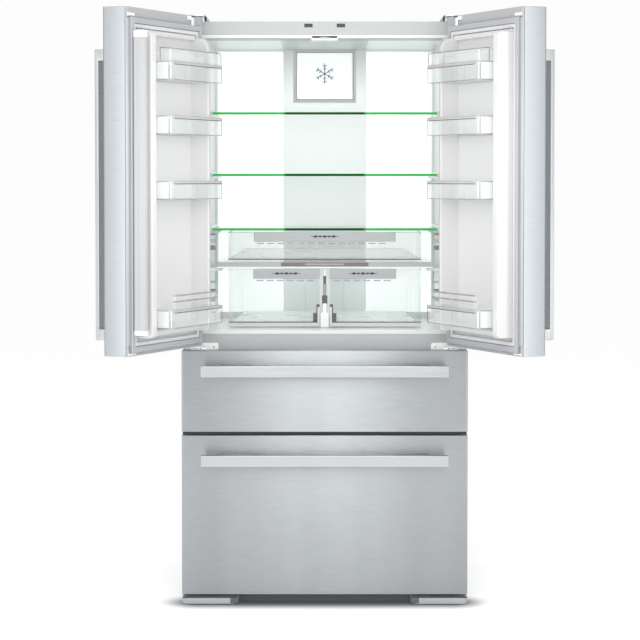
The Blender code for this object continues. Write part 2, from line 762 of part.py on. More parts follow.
def doors():
    for name, side in (("left", -1), ("right", 1)):
        axle = empty(name + "_door_hinge", (side * HINGE_X, HINGE_Y, 0), BASE, side * DOOR_ANGLE)
        door_skin(name, side, axle)
        door_frame(name, side, axle)
        door_liner(name, side, axle)
        door_gasket(name, side, axle)
        door_handle(name, side, axle)
        for level in BIN_TOPS:
            door_bin(name, side, level, axle)
        dairy_lid(name, side, axle)
        if name == "left":
            mullion(axle)


# ---------------------------------------------------------------- freezer drawers
def drawer_front(name, low, high):
    """Steel pan over the front of a drawer, and the plastic panel that closes its back."""
    pan = rounded_block((-HALF, HALF), (0, 0.12), (low, high), 0.005, 2, 3)
    skin = part(name + "_drawer_skin", pan, "brushed_steel")
    cut(skin, block((-1, 1), (DRAWER_STEEL, 0.2), (-1, 3)))
    inner = HALF - SHEET
    cut(skin, rounded_block((-inner, inner), (SHEET, 0.2), (low + SHEET, high - SHEET), 0.004, 2, 2))
    part(
        name + "_drawer_panel",
        block((-0.440, 0.440), (DRAWER_STEEL + GAP, DOOR_BACK_Y), (low + 0.010, high - 0.010)),
        "grey_plastic",
    )


def drawer_handle(name, middle):
    """Flat level bar on two posts."""
    z = (middle - BAR_WIDTH / 2, middle + BAR_WIDTH / 2)
    y = (-BAR_STANDOFF - BAR_THICK, -BAR_STANDOFF)
    handle = part(name + "_drawer_handle", block((-DRAWER_BAR_HALF, DRAWER_BAR_HALF), y, z), "bright_steel")
    for side in (-1, 1):
        x = (side * (DRAWER_POST_X - POST / 2), side * (DRAWER_POST_X + POST / 2))
        join(handle, block(x, (-BAR_STANDOFF - 0.002, -FIT), (z[0] + 0.004, z[1] - 0.004)))
    bevel(handle, 0.001, 1)


def drawer_basket(name, low, high, back):
    """White storage bin that hooks on the back of the drawer front."""
    x = (-BASKET_HALF, BASKET_HALF)
    y = (DOOR_BACK_Y + FIT, back)
    basket = part(name + "_drawer_basket", block(x, y, (low, high)), "white_plastic")
    tray(basket, x, y, (low, high), BASKET_WALL)


def freezer_drawers():
    for name, (low, high, bar) in DRAWERS.items():
        drawer_front(name, low, high)
        drawer_handle(name, bar)
        drawer_basket(name, *BASKETS[name])


clear_scene()
PARTS = new_collection("french_door_refrigerator")
CUTTERS = new_collection("cutters")
BASE = empty("refrigerator_base", (0, FRONT_PLANE_Y, 0))
cabinet_shell()
insulation_foam()
fridge_liner()
freezer_liner()
back_and_base()
feet()
hinges()
interior()
crispers()
machinery()
doors()
freezer_drawers()
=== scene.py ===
"""Looks of the French door refrigerator.

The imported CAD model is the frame.  Every visible piece here is either a finer copy of a CAD node,
with rounded edges and its own procedural material, or a detail that rides on a CAD body.
Door details are drawn in the closed position, in metres from the plane of the drawer fronts, and
are then turned to where the CAD door stands.
"""

import json
from math import cos, pi, radians, sin

import bmesh
import bpy
from mathutils import Matrix, Vector

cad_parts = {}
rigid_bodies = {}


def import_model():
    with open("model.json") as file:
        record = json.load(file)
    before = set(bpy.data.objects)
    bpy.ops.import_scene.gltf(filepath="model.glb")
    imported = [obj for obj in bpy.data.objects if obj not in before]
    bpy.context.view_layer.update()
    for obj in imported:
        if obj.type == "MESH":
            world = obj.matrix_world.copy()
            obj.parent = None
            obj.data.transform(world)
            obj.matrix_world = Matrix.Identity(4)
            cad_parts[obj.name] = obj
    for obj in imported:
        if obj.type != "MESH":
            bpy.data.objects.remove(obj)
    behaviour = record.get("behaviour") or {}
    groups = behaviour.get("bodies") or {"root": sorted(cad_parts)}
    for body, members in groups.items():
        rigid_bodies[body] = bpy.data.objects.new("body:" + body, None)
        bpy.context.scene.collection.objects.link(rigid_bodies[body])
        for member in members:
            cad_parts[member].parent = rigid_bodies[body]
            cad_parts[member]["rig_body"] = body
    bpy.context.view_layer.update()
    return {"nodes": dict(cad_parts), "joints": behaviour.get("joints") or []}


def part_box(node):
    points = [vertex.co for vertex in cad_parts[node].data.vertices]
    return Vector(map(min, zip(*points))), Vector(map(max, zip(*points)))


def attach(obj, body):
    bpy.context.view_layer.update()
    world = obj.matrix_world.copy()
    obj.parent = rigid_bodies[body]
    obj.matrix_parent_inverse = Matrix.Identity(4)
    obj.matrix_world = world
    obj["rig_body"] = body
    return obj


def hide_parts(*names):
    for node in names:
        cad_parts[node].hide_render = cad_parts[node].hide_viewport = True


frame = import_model()

JOINTS = {joint["name"]: joint for joint in frame["joints"]}
SIDES = {"left": -1, "right": 1}
FRONT_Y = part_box("upper_drawer_skin")[0].y
FLANGE_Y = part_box("cabinet_shell")[0].y - FRONT_Y

# Sizes in metres, with the doors closed and Y from the plane of the drawer fronts.
BIN_TOPS = {"top": 1.700, "upper": 1.538, "middle": 1.343, "bottom": 0.957}
BIN_HEIGHT = 0.055
BIN_NEAR, BIN_FAR = 0.0680, 0.3760
HINGE_X, HINGE_Y = 0.4305, 0.049
DUCT_HALF = 0.1425

# The camera looks a little down, and its lens shift does the rest, so that uprights stay near parallel.
CAMERA_DISTANCE, CAMERA_HEIGHT = 6.2086, 1.3551
CAMERA_PITCH = radians(2.1)
LENS = 110.93
LENS_SHIFT = (-0.00734, -0.1102)


# ---------------------------------------------------------------- materials
NOISE_SPAN = (0.3, 0.7)
# painted shade: brushed steel is darkened below this height towards the floor
PAINTED_SHADE_HEIGHT = 0.38


def nodes_of(name):
    """A new material with its node tree and its shader."""
    made = bpy.data.materials.new(name)
    made.use_nodes = True
    tree = made.node_tree
    return made, tree, tree.nodes["Principled BSDF"]


def add(tree, kind, **inputs):
    """A new node with some inputs set; an underscore in an input's name stands for a space."""
    node = tree.nodes.new("ShaderNode" + kind)
    for socket, value in inputs.items():
        node.inputs[socket.replace("_", " ")].default_value = value
    return node


def noise(tree, scale, detail=3.0, stretch=(1, 1, 1)):
    """Noise over the model's own coordinates, drawn out along the axes by stretch."""
    coordinates = add(tree, "TexCoord")
    mapping = add(tree, "Mapping", Scale=stretch)
    texture = add(tree, "TexNoise", Scale=scale, Detail=detail)
    tree.links.new(coordinates.outputs["Object"], mapping.inputs["Vector"])
    tree.links.new(mapping.outputs["Vector"], texture.inputs["Vector"])
    return texture.outputs["Fac"]


def along(tree, axis):
    """How far a point lies along one axis of the model, in metres."""
    coordinates = add(tree, "TexCoord")
    split = add(tree, "SeparateXYZ")
    tree.links.new(coordinates.outputs["Object"], split.inputs["Vector"])
    return split.outputs[axis]


def maths(tree, operation, value, second=0.0):
    """One step of arithmetic on a value."""
    node = add(tree, "Math")
    node.operation = operation
    node.inputs[1].default_value = second
    tree.links.new(value, node.inputs[0])
    return node.outputs["Value"]


def ranged(tree, value, start, end=(0.0, 1.0), smooth=False):
    """The value, carried from the span start to the span end and held there."""
    node = add(tree, "MapRange", From_Min=start[0], From_Max=start[1], To_Min=end[0], To_Max=end[1])
    if smooth:
        node.interpolation_type = "SMOOTHSTEP"
    tree.links.new(value, node.inputs["Value"])
    return node.outputs["Result"]


def ramp(tree, value, *stops):
    """Colour that runs from the first (position, colour) to the second."""
    node = add(tree, "ValToRGB")
    for number, (position, colour) in enumerate(stops):
        node.color_ramp.elements[number].position = position
        node.color_ramp.elements[number].color = (*colour, 1)
    tree.links.new(value, node.inputs["Fac"])
    return node.outputs["Color"]


def tinted(tree, value, colour, swing):
    """The colour, made darker and lighter by up to swing where value is low and high."""
    dark = [c * (1 - swing) for c in colour]
    light = [min(1, c * (1 + swing)) for c in colour]
    return ramp(tree, value, (NOISE_SPAN[0], dark), (NOISE_SPAN[1], light))


def painted_shade_along(tree, colour, axis, start, end, tone):
    """Painted shade: the colour, scaled from 1 at start to tone at end along one axis of the model."""
    scaled = add(tree, "VectorMath")
    scaled.operation = "SCALE"
    tree.links.new(colour, scaled.inputs[0])
    tree.links.new(ranged(tree, along(tree, axis), (start, end), (1.0, tone)), scaled.inputs["Scale"])
    return scaled.outputs["Vector"]


def roughen(tree, shader, value, low, high):
    """Gloss that varies between two values of roughness."""
    tree.links.new(ranged(tree, value, NOISE_SPAN, (low, high)), shader.inputs["Roughness"])


def bump(tree, shader, value, strength, distance):
    """Fine relief from a value."""
    node = add(tree, "Bump", Strength=strength, Distance=distance)
    tree.links.new(value, node.inputs["Height"])
    tree.links.new(node.outputs["Normal"], shader.inputs["Normal"])


def lit(tree, shader, colour, strength):
    """The same colour as surface and as glow."""
    tree.links.new(colour, shader.inputs["Base Color"])
    tree.links.new(colour, shader.inputs["Emission Color"])
    shader.inputs["Emission Strength"].default_value = strength


def solid(name, colour, roughness, metallic=0.0, grain=300.0, swing=0.03, depth=0.00008):
    """Moulded plastic, rubber or paint: fine grain, slight colour drift and uneven gloss."""
    made, tree, shader = nodes_of(name)
    shader.inputs["Metallic"].default_value = metallic
    tree.links.new(tinted(tree, noise(tree, 3.0), colour, swing), shader.inputs["Base Color"])
    roughen(tree, shader, noise(tree, 14.0), roughness * 0.93, roughness * 1.07)
    bump(tree, shader, noise(tree, grain, 2.0), 0.2, depth)
    return made


def brushed(name, colour, roughness, swing, anisotropy, stretch=(4, 4, 420), painted_foot_shade=1.0):
    """Brushed metal with hairlines, broad gentle stripes that are partly brushing tone and partly painted
    highlight, a stretched highlight, and painted shade that darkens it towards the floor.
    """
    made, tree, shader = nodes_of(name)
    shader.inputs["Metallic"].default_value = 1.0
    shader.inputs["Anisotropic"].default_value = anisotropy
    shader.inputs["Anisotropic Rotation"].default_value = 0.25
    lines = noise(tree, 1.0, 4.0, stretch)
    # broad gentle vertical stripes: partly random brushing tone, partly painted highlight across the steel
    # fronts
    brushing_and_highlight_bands = noise(tree, 1.0, 1.0, (7, 7, 0.6))
    mix = add(tree, "Mix", Factor=0.45)
    tree.links.new(lines, mix.inputs["A"])
    tree.links.new(brushing_and_highlight_bands, mix.inputs["B"])
    tone = tinted(tree, mix.outputs["Result"], colour, swing)
    # painted shade: the colour is darkened towards the floor
    if painted_foot_shade < 1:
        tone = painted_shade_along(tree, tone, "Z", PAINTED_SHADE_HEIGHT, 0.0, painted_foot_shade)
    tree.links.new(tone, shader.inputs["Base Color"])
    roughen(tree, shader, lines, roughness * 0.8, roughness * 1.2)
    bump(tree, shader, lines, 0.18, 0.00005)
    tangent = add(tree, "Tangent")
    tangent.direction_type = "RADIAL"
    tangent.axis = "Z"
    tree.links.new(tangent.outputs["Tangent"], shader.inputs["Tangent"])
    return made


def clear(name, tint, body, edge, roughness=0.06, gloss_colour=(0.75, 0.78, 0.78)):
    """Clear moulding: light passes, and the surface shows where it turns away from the eye."""
    made, tree, shader = nodes_of(name)
    shader.inputs["Base Color"].default_value = (*gloss_colour, 1)
    roughen(tree, shader, noise(tree, 9.0), roughness * 0.7, roughness * 1.4)
    bump(tree, shader, noise(tree, 25.0, 1.0), 0.05, 0.0002)
    through = add(tree, "BsdfTransparent", Color=(*tint, 1))
    weight = add(tree, "LayerWeight", Blend=0.35)
    mixed = add(tree, "MixShader")
    share = ranged(tree, weight.outputs["Facing"], (0.0, 1.0), (body, edge))
    tree.links.new(share, mixed.inputs["Fac"])
    tree.links.new(through.outputs["BSDF"], mixed.inputs[1])
    tree.links.new(shader.outputs["BSDF"], mixed.inputs[2])
    tree.links.new(mixed.outputs["Shader"], tree.nodes["Material Output"].inputs["Surface"])
    return made


def glowing(name, colour, strength, shade=None):
    """A surface that glows in its own slightly uneven colour: a lamp's diffuser on the light panels, painted
    light on the duct, vent cover and hinge brackets; shade is (axis, start, end, tone) and paints shade along
    one axis.
    """
    made, tree, shader = nodes_of(name)
    base = tinted(tree, noise(tree, 2.0), colour, 0.02)
    if shade:
        base = painted_shade_along(tree, base, *shade)
    lit(tree, shader, base, strength)
    shader.inputs["Roughness"].default_value = 0.35
    bump(tree, shader, noise(tree, 200.0), 0.1, 0.00005)
    return made


def edge_green(name):
    """Polished glass edge with painted light: bright painted green where the lit back wall would shine
    through, deep green before the duct, and a painted glow.
    """
    made, tree, shader = nodes_of(name)
    # painted light: the edge green changes across X with the light behind it, and the edge glows at 0.12
    deep, painted_lit_green = (0.001, 0.085, 0.010), (0.035, 0.42, 0.085)
    width = maths(tree, "ABSOLUTE", along(tree, "X"))
    green = ramp(tree, width, (0.126, deep), (0.134, painted_lit_green))
    lit(tree, shader, green, 0.12)
    shader.inputs["Specular IOR Level"].default_value = 0.02
    roughen(tree, shader, noise(tree, 60.0), 0.10, 0.25)
    return made


# painted shade: the steel skins darken to 0.80 of their colour towards the floor
STEEL = brushed("brushed_steel", (0.465, 0.49, 0.51), 0.36, 0.09, 0.82, (20, 20, 270), painted_foot_shade=0.80)
BRIGHT = brushed("bright_steel", (0.64, 0.655, 0.665), 0.26, 0.03, 0.5)
BAR_LEVEL = brushed("bar_steel_level", (0.60, 0.61, 0.615), 0.22, 0.02, 0.6)
BAR_UPRIGHT = brushed("bar_steel_upright", (0.62, 0.63, 0.635), 0.26, 0.02, 0.4, (300, 300, 3))
ZINC = solid("zinc_sheet", (0.52, 0.53, 0.54), 0.42, 1.0, grain=90, swing=0.04, depth=0.0001)
PAINT = solid("painted_grey", (0.50, 0.525, 0.525), 0.40, grain=700, swing=0.02)
WHITE = solid("liner_white", (0.78, 0.805, 0.795), 0.30, grain=140, swing=0.01, depth=0.00001)
# painted light and painted shade: the duct panel glows at 0.20 though it is no lamp, and darkens to 0.62
# towards the ceiling
DUCT = glowing("duct_white", (0.80, 0.835, 0.83), 0.20, shade=("Z", 1.63, 1.80, 0.62))
# painted light: the vent cover glows at 0.28 though it is no lamp
PANEL = glowing("vent_panel", (0.88, 0.90, 0.90), 0.28)
# painted shade: grey-green for the ceiling over the duct, where only shade falls
CEILING_PAINTED_SHADE = solid("painted_ceiling_shade_plate", (0.60, 0.64, 0.625), 0.35, grain=140, swing=0.01, depth=0.00001)
# painted shade: grey-green that stands in for the shaded liner floor seen through the clear crisper fronts
SKIRT_PAINTED_SHADE = solid("crisper_skirt_painted_shade", (0.66, 0.69, 0.68), 0.40, grain=140, swing=0.01, depth=0.00001)
DOOR_WHITE = solid("door_liner_white", (0.70, 0.70, 0.702), 0.34, grain=160, swing=0.006, depth=0.00001)
BRIGHT_WHITE = solid("bright_white", (0.90, 0.91, 0.91), 0.25, grain=200, swing=0.01, depth=0.00003)
GREY = solid("grey_plastic", (0.44, 0.45, 0.465), 0.40, grain=900, swing=0.02)
BAR_GREY = solid("bar_grey", (0.50, 0.505, 0.51), 0.38, grain=700, swing=0.02)
LIGHT_GREY = solid("light_grey_plastic", (0.52, 0.545, 0.56), 0.38, grain=900, swing=0.02)
DARK = solid("dark_plastic", (0.045, 0.048, 0.052), 0.55, grain=900, swing=0.10)
BLACK = solid("black_gloss", (0.012, 0.012, 0.013), 0.16, grain=300, swing=0.10)
SEAL = solid("gasket_rubber", (0.44, 0.45, 0.475), 0.60, grain=1200, swing=0.04)
SMOKE = solid("smoke_inset", (0.185, 0.16, 0.145), 0.28, grain=500, swing=0.04)
TAUPE = solid("taupe_rail", (0.36, 0.335, 0.31), 0.28, grain=500, swing=0.04)
UMBER = solid("umber_edge", (0.115, 0.098, 0.088), 0.28, grain=500, swing=0.05)
OUTLINE = solid("outline_grey", (0.235, 0.215, 0.20), 0.25, grain=500, swing=0.04)
RAIL = solid("rail_grey", (0.50, 0.485, 0.465), 0.22, grain=500, swing=0.04)
LABEL = solid("label_grey", (0.42, 0.44, 0.45), 0.35, grain=700, swing=0.02)
INK = solid("label_ink", (0.05, 0.05, 0.055), 0.50, grain=900, swing=0.05)
BLUE_INK = solid("icon_ink", (0.10, 0.15, 0.22), 0.45, grain=900, swing=0.05)
FOAM = solid("foam", (0.50, 0.485, 0.44), 0.95, grain=80, swing=0.06, depth=0.0008)
ENAMEL = solid("black_enamel", (0.02, 0.02, 0.022), 0.35, grain=150, swing=0.08, depth=0.0002)
CLEAR = clear("clear_plastic", (0.992, 0.996, 0.996), 0.08, 0.45, gloss_colour=(0.92, 0.95, 0.95))
FROST = clear("frosted_plastic", (0.99, 0.995, 0.995), 0.55, 0.78, 0.20, gloss_colour=(0.96, 0.98, 0.98))
MIST = clear("crisper_tray", (0.99, 0.995, 0.995), 0.30, 0.45, 0.30, gloss_colour=(0.94, 0.97, 0.97))
CRISP = clear("crisper_plastic", (0.988, 0.997, 0.995), 0.04, 0.40, gloss_colour=(0.90, 0.94, 0.93))
GLASS = clear("shelf_glass", (0.985, 0.998, 0.992), 0.03, 0.30, 0.03, gloss_colour=(0.85, 0.92, 0.88))
# painted light: the white hinge brackets glow at 0.20 though they are no lamps
HINGE_WHITE = glowing("hinge_white", (0.90, 0.91, 0.91), 0.20)
KICK = solid("kickplate_grey", (0.125, 0.145, 0.168), 0.45, grain=900, swing=0.05)
GLOW = glowing("light_panel", (0.88, 0.905, 0.90), 0.53)
EDGE = edge_green("glass_edge")


# ---------------------------------------------------------------- mesh tools
def block(x, y, z):
    """A box between the given low and high values, in whichever order they come."""
    spans = [(min(pair), max(pair)) for pair in (x, y, z)]
    bm = bmesh.new()
    bmesh.ops.create_cube(bm, size=1)
    bmesh.ops.scale(bm, vec=[high - low for low, high in spans], verts=bm.verts)
    bmesh.ops.translate(bm, vec=[(low + high) / 2 for low, high in spans], verts=bm.verts)
    return bm


def rod(radius, start, end, sides=24, tip=None):
    """A round bar or cone between two points."""
    start, end = Vector(start), Vector(end)
    along = end - start
    bm = bmesh.new()
    bmesh.ops.create_cone(
        bm,
        cap_ends=True,
        segments=sides,
        radius1=radius,
        radius2=radius if tip is None else tip,
        depth=along.length,
    )
    turn = Vector((0, 0, 1)).rotation_difference(along).to_matrix().to_4x4()
    bmesh.ops.transform(bm, matrix=Matrix.Translation((start + end) / 2) @ turn, verts=bm.verts)
    return bm


def gathered(*meshes):
    """Several separate bmeshes as one."""
    total = bmesh.new()
    for bm in meshes:
        mesh = bpy.data.meshes.new("part")
        bm.to_mesh(mesh)
        bm.free()
        total.from_mesh(mesh)
        bpy.data.meshes.remove(mesh)
    return total


def ring_sweep(profile, x, z):
    """A closed profile of (inset, y) points swept round the rectangle x by z with mitred corners."""
    bm = bmesh.new()
    low_x, high_x = min(x), max(x)
    low_z, high_z = min(z), max(z)
    loops = []
    for inset, y in profile:
        corners = (
            (low_x + inset, low_z + inset),
            (high_x - inset, low_z + inset),
            (high_x - inset, high_z - inset),
            (low_x + inset, high_z - inset),
        )
        loops.append([bm.verts.new((cx, y, cz)) for cx, cz in corners])
    for i, loop in enumerate(loops):
        after = loops[(i + 1) % len(loops)]
        for j in range(4):
            k = (j + 1) % 4
            bm.faces.new((loop[j], loop[k], after[k], after[j]))
    bmesh.ops.recalc_face_normals(bm, faces=bm.faces)
    return bm


def rounded_outline(x, z, radius):
    """Points round a rectangle with rounded corners."""
    points = []
    steps = 6
    low_x, high_x = min(x), max(x)
    low_z, high_z = min(z), max(z)
    corners = ((high_x, high_z, 0), (low_x, high_z, 1), (low_x, low_z, 2), (high_x, low_z, 3))
    for cx, cz, quarter in corners:
        mx = cx - radius if cx == high_x else cx + radius
        mz = cz - radius if cz == high_z else cz + radius
        for i in range(steps + 1):
            angle = (quarter + i / steps) * pi / 2
            points.append((mx + radius * cos(angle), mz + radius * sin(angle)))
    return points


def extruded(points, lift):
    """The flat face through the points, drawn out by lift into a solid."""
    bm = bmesh.new()
    face = bm.faces.new([bm.verts.new(point) for point in points])
    raised = bmesh.ops.extrude_face_region(bm, geom=[face])
    verts = [item for item in raised["geom"] if isinstance(item, bmesh.types.BMVert)]
    bmesh.ops.translate(bm, vec=lift, verts=verts)
    bmesh.ops.recalc_face_normals(bm, faces=bm.faces)
    return bm


def plate(outline, y):
    """A flat outline in X and Z, as thick as the two values of y."""
    return extruded([(px, min(y), pz) for px, pz in outline], (0, max(y) - min(y), 0))


def prism(outline, z):
    """A flat outline in X and Y, as tall as the two values of z."""
    return extruded([(px, py, min(z)) for px, py in outline], (0, 0, max(z) - min(z)))


def slab(outline, x):
    """A flat outline in Y and Z, as wide as the two values of x."""
    bm = plate([(py, pz) for py, pz in outline], x)
    swap_xy = Matrix(((0, 1, 0, 0), (1, 0, 0, 0), (0, 0, 1, 0), (0, 0, 0, 1)))
    bmesh.ops.transform(bm, matrix=swap_xy, verts=bm.verts)
    bmesh.ops.reverse_faces(bm, faces=bm.faces)
    return bm


def rim_bars(x, y, spans, thick):
    """Thin bars along the inside of the rectangle x by y, at each (low, high) span of height."""
    low_x, high_x = min(x), max(x)
    low_y, high_y = min(y), max(y)
    bars = []
    for z in spans:
        bars.append(block((low_x, high_x), (low_y, low_y + thick), z))
        bars.append(block((low_x, high_x), (high_y - thick, high_y), z))
        bars.append(block((low_x, low_x + thick), (low_y, high_y), z))
        bars.append(block((high_x - thick, high_x), (low_y, high_y), z))
    return gathered(*bars)


def frame_ring(x, y, z, width):
    """A flat picture frame in X and Z."""
    front, rear = min(y), max(y)
    return ring_sweep([(0, front), (width, front), (width, rear), (0, rear)], x, z)


def round_edges(obj, width, segments):
    if width:
        rounding = obj.modifiers.new("rounding", "BEVEL")
        rounding.width = width
        rounding.segments = segments
        rounding.limit_method = "ANGLE"
        rounding.angle_limit = radians(30)
        rounding.harden_normals = True


def place(name, bm, look, body, bevel=0.0, segments=3, matrix=None, replaces=()):
    """Turn a bmesh into a piece that rides on a body."""
    if matrix is None:
        matrix = Matrix.Translation((0, FRONT_Y, 0))
    bmesh.ops.transform(bm, matrix=matrix, verts=bm.verts)
    mesh = bpy.data.meshes.new(name)
    bm.to_mesh(mesh)
    bm.free()
    mesh.shade_smooth()
    mesh.set_sharp_from_angle(angle=radians(35))
    mesh.materials.append(look)
    obj = bpy.data.objects.new(name, mesh)
    bpy.context.scene.collection.objects.link(obj)
    round_edges(obj, bevel, segments)
    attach(obj, body)
    if replaces:
        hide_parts(*replaces)
    return obj


def fine(node, look, bevel, segments=3):
    """A finer copy of a CAD node, with merged faces and rounded edges, which stands for it."""
    source = frame["nodes"][node]
    bm = bmesh.new()
    bm.from_mesh(source.data)
    bmesh.ops.remove_doubles(bm, verts=bm.verts, dist=0.00001)
    bmesh.ops.dissolve_limit(bm, angle_limit=radians(0.5), verts=bm.verts, edges=bm.edges)
    body = source["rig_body"]
    return place(node + "_fine", bm, look, body, bevel, segments, Matrix.Identity(4), (node,))


def paint(node, look):
    """A CAD node that is shown as it is, with its own material."""
    obj = frame["nodes"][node]
    obj.data.materials.clear()
    obj.data.materials.append(look)


def closed_to_rest(joint_name):
    """The turn from a door's closed position to where the CAD model holds it at rest."""
    joint = JOINTS[joint_name]
    pivot = Matrix.Translation(joint["pos_m"])
    turn = Matrix.Rotation(-radians(joint["range_deg"][0]), 4, Vector(joint["axis"]))
    return pivot @ turn @ pivot.inverted() @ Matrix.Translation((0, FRONT_Y, 0))


DOOR_TURN = {name: closed_to_rest(name + "_door_hinge") for name in SIDES}


def on_door(name, label, bm, look, bevel=0.0, segments=3, replaces=(), body=None):
    """Place a piece that was drawn on the closed door."""
    return place(
        f"{name}_{label}", bm, look, body or name + "_door", bevel, segments, DOOR_TURN[name], replaces
    )


# ---------------------------------------------------------------- cabinet
def here(name, bm, look, bevel=0.0, segments=3, body="cabinet", replaces=()):
    """Place a piece that was drawn in metres from the plane of the drawer fronts."""
    return place(name, bm, look, body, bevel, segments, None, replaces)


def cabinet():
    fine("cabinet_shell", PAINT, 0.0005, 2)
    fine("fridge_liner", WHITE, 0.0012, 3)
    fine("freezer_liner", WHITE, 0.0009, 3)
    fine("base_frame", ZINC, 0.0006, 2)
    paint("insulation_foam", FOAM)
    fine("compressor", ENAMEL, 0.0015, 3)
    fine("evaporator", ZINC, 0.0004, 1)
    fine("evaporator_fan", DARK, 0.0004, 2)
    for name in SIDES:
        fine("levelling_foot_" + name, DARK, 0.0010, 3)
        fine("rear_roller_" + name, DARK, 0.0010, 3)
    sensors()
    mullion_guide()
    hinges()
    feet()
    back()


def sensors():
    """Two dark door sensors in the top of the front flange."""
    for name, side in SIDES.items():
        y = (FLANGE_Y - 0.0012, FLANGE_Y + 0.001)
        sensor = block((side * 0.0385, side * 0.0650), y, (1.8325, 1.8440))
        here("sensor_" + name, sensor, BLACK, 0.0012)


def mullion_guide():
    """Rounded guide on the ceiling that turns the mullion as the door shuts."""
    guide = block((-0.043, 0.043), (FLANGE_Y + 0.0005, 0.150), (1.7915, 1.8075))
    here("mullion_guide", guide, BRIGHT_WHITE, 0.003)
    groove = block((-0.014, 0.014), (FLANGE_Y - 0.0002, FLANGE_Y + 0.003), (1.7945, 1.8020))
    here("mullion_guide_slot", groove, LIGHT_GREY, 0.0015)


def screw(name, x, y, z):
    """Domed cross-head screw whose head faces the front."""
    radius = 0.0042
    head = rod(radius, (x, y + 0.0012, z), (x, y - 0.0008, z), 28, radius * 0.8)
    reach, half = radius * 0.55, 0.0005
    slot_y = (y - 0.0012, y - 0.0004)
    slots = [
        block((x - reach, x + reach), slot_y, (z - half, z + half)),
        block((x - half, x + half), slot_y, (z - reach, z + reach)),
    ]
    here(name, head, BRIGHT, 0.0003, 2)
    here(name + "_cross", gathered(*slots), INK)


def hinges():
    """Middle hinges with screws, washer and arm, and top hinges with barrel, bracket and cover."""
    for name, side in SIDES.items():
        # painted light: the middle hinge brackets and arms glow though they are no lamps
        fine("mid_hinge_" + name, HINGE_WHITE, 0.0010, 3)
        for number, x in enumerate((0.355, 0.385), start=1):
            screw(f"mid_hinge_screw_{name}_{number}", side * x, 0.0965, 0.8115)
        pin_x = side * HINGE_X
        knuckle = rod(0.0085, (pin_x, HINGE_Y, 0.8152), (pin_x, HINGE_Y, 0.8186), 32)
        here("mid_hinge_washer_" + name, knuckle, BRIGHT, 0.0006)
        arm = block((side * 0.3765, side * 0.4262), (0.0340, 0.0600), (0.8078, 0.8150))
        here("mid_hinge_arm_" + name, arm, HINGE_WHITE, 0.0015)
        slots = gathered(
            block((side * 0.4020, side * 0.4160), (0.0334, 0.0350), (0.8118, 0.8128)),
            block((side * 0.3920, side * 0.3960), (0.0334, 0.0350), (0.8098, 0.8128)),
        )
        here("mid_hinge_slots_" + name, slots, INK)
        fine("top_hinge_" + name, BRIGHT, 0.0008, 3)
        barrel = gathered(
            rod(0.0115, (pin_x, HINGE_Y, 1.8472), (pin_x, HINGE_Y, 1.8628), 40),
            rod(0.0135, (pin_x, HINGE_Y, 1.8610), (pin_x, HINGE_Y, 1.8634), 40),
        )
        here("top_hinge_barrel_" + name, barrel, BRIGHT, 0.0006)
        bracket = block((side * 0.3835, side * 0.4040), (0.1008, 0.1130), (1.8500, 1.8640))
        here("top_hinge_bracket_" + name, bracket, BRIGHT, 0.0015)
        plug = block((side * 0.3765, side * 0.3830), (0.1004, 0.1125), (1.8520, 1.8645))
        here("top_hinge_plug_" + name, plug, DARK, 0.0012)
        cover = block((side * 0.372, side * 0.4440), (0.112, 0.196), (1.8512, 1.8638))
        here("top_hinge_cover_" + name, cover, LIGHT_GREY, 0.0035)


def feet():
    """Foot covers with a dark gap and cheek, and the ribbed kick plate between them."""
    for name, side in SIDES.items():
        fine("foot_cover_" + name, LIGHT_GREY, 0.0022, 4)
        under = block((side * 0.2770, side * 0.4510), (0.0000, 0.0040), (0.0214, 0.0252))
        here("foot_cover_gap_" + name, under, DARK, 0.0006)
        outline = [
            (side * 0.3000, 0.0002), (side * 0.2745, 0.0002),
            (side * 0.2745, 0.0200), (side * 0.2900, 0.0080),
        ]
        here("foot_cover_cheek_" + name, prism(outline, (0.0040, 0.0230)), KICK, 0.0012)
    fine("kickplate", KICK, 0.0006, 2)
    bars = []
    for number in range(3):
        z = 0.0075 + 0.0065 * number
        bars.append(block((-0.268, 0.268), (0.0285, 0.0305), (z, z + 0.0030)))
    here("kickplate_ribs", gathered(*bars), KICK, 0.0006)


def back():
    """Back sheet with pressed ribs and screws, and the slotted cover of the machine room."""
    fine("machine_cover", DARK, 0.0008, 2)
    low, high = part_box("back_panel")
    depth = high.y - FRONT_Y
    sheet = block((low.x, high.x), (depth - 0.0012, depth - 0.0008), (low.z, high.z))
    here("back_sheet", sheet, ZINC, replaces=("back_panel",))
    for number in range(5):
        x = -0.36 + 0.18 * number
        outline = rounded_outline((x - 0.016, x + 0.016), (0.36, 1.79), 0.0158)
        here(f"back_rib_{number}", plate(outline, (depth - 0.0010, depth)), ZINC, 0.0009)
    for row in range(6):
        z = 0.34 + 0.29 * row
        for name, side in SIDES.items():
            head = rod(0.0055, (side * 0.438, depth - 0.0010, z), (side * 0.438, depth, z), 20, 0.004)
            here(f"back_screw_{row}_{name}", head, BRIGHT, 0.0004)


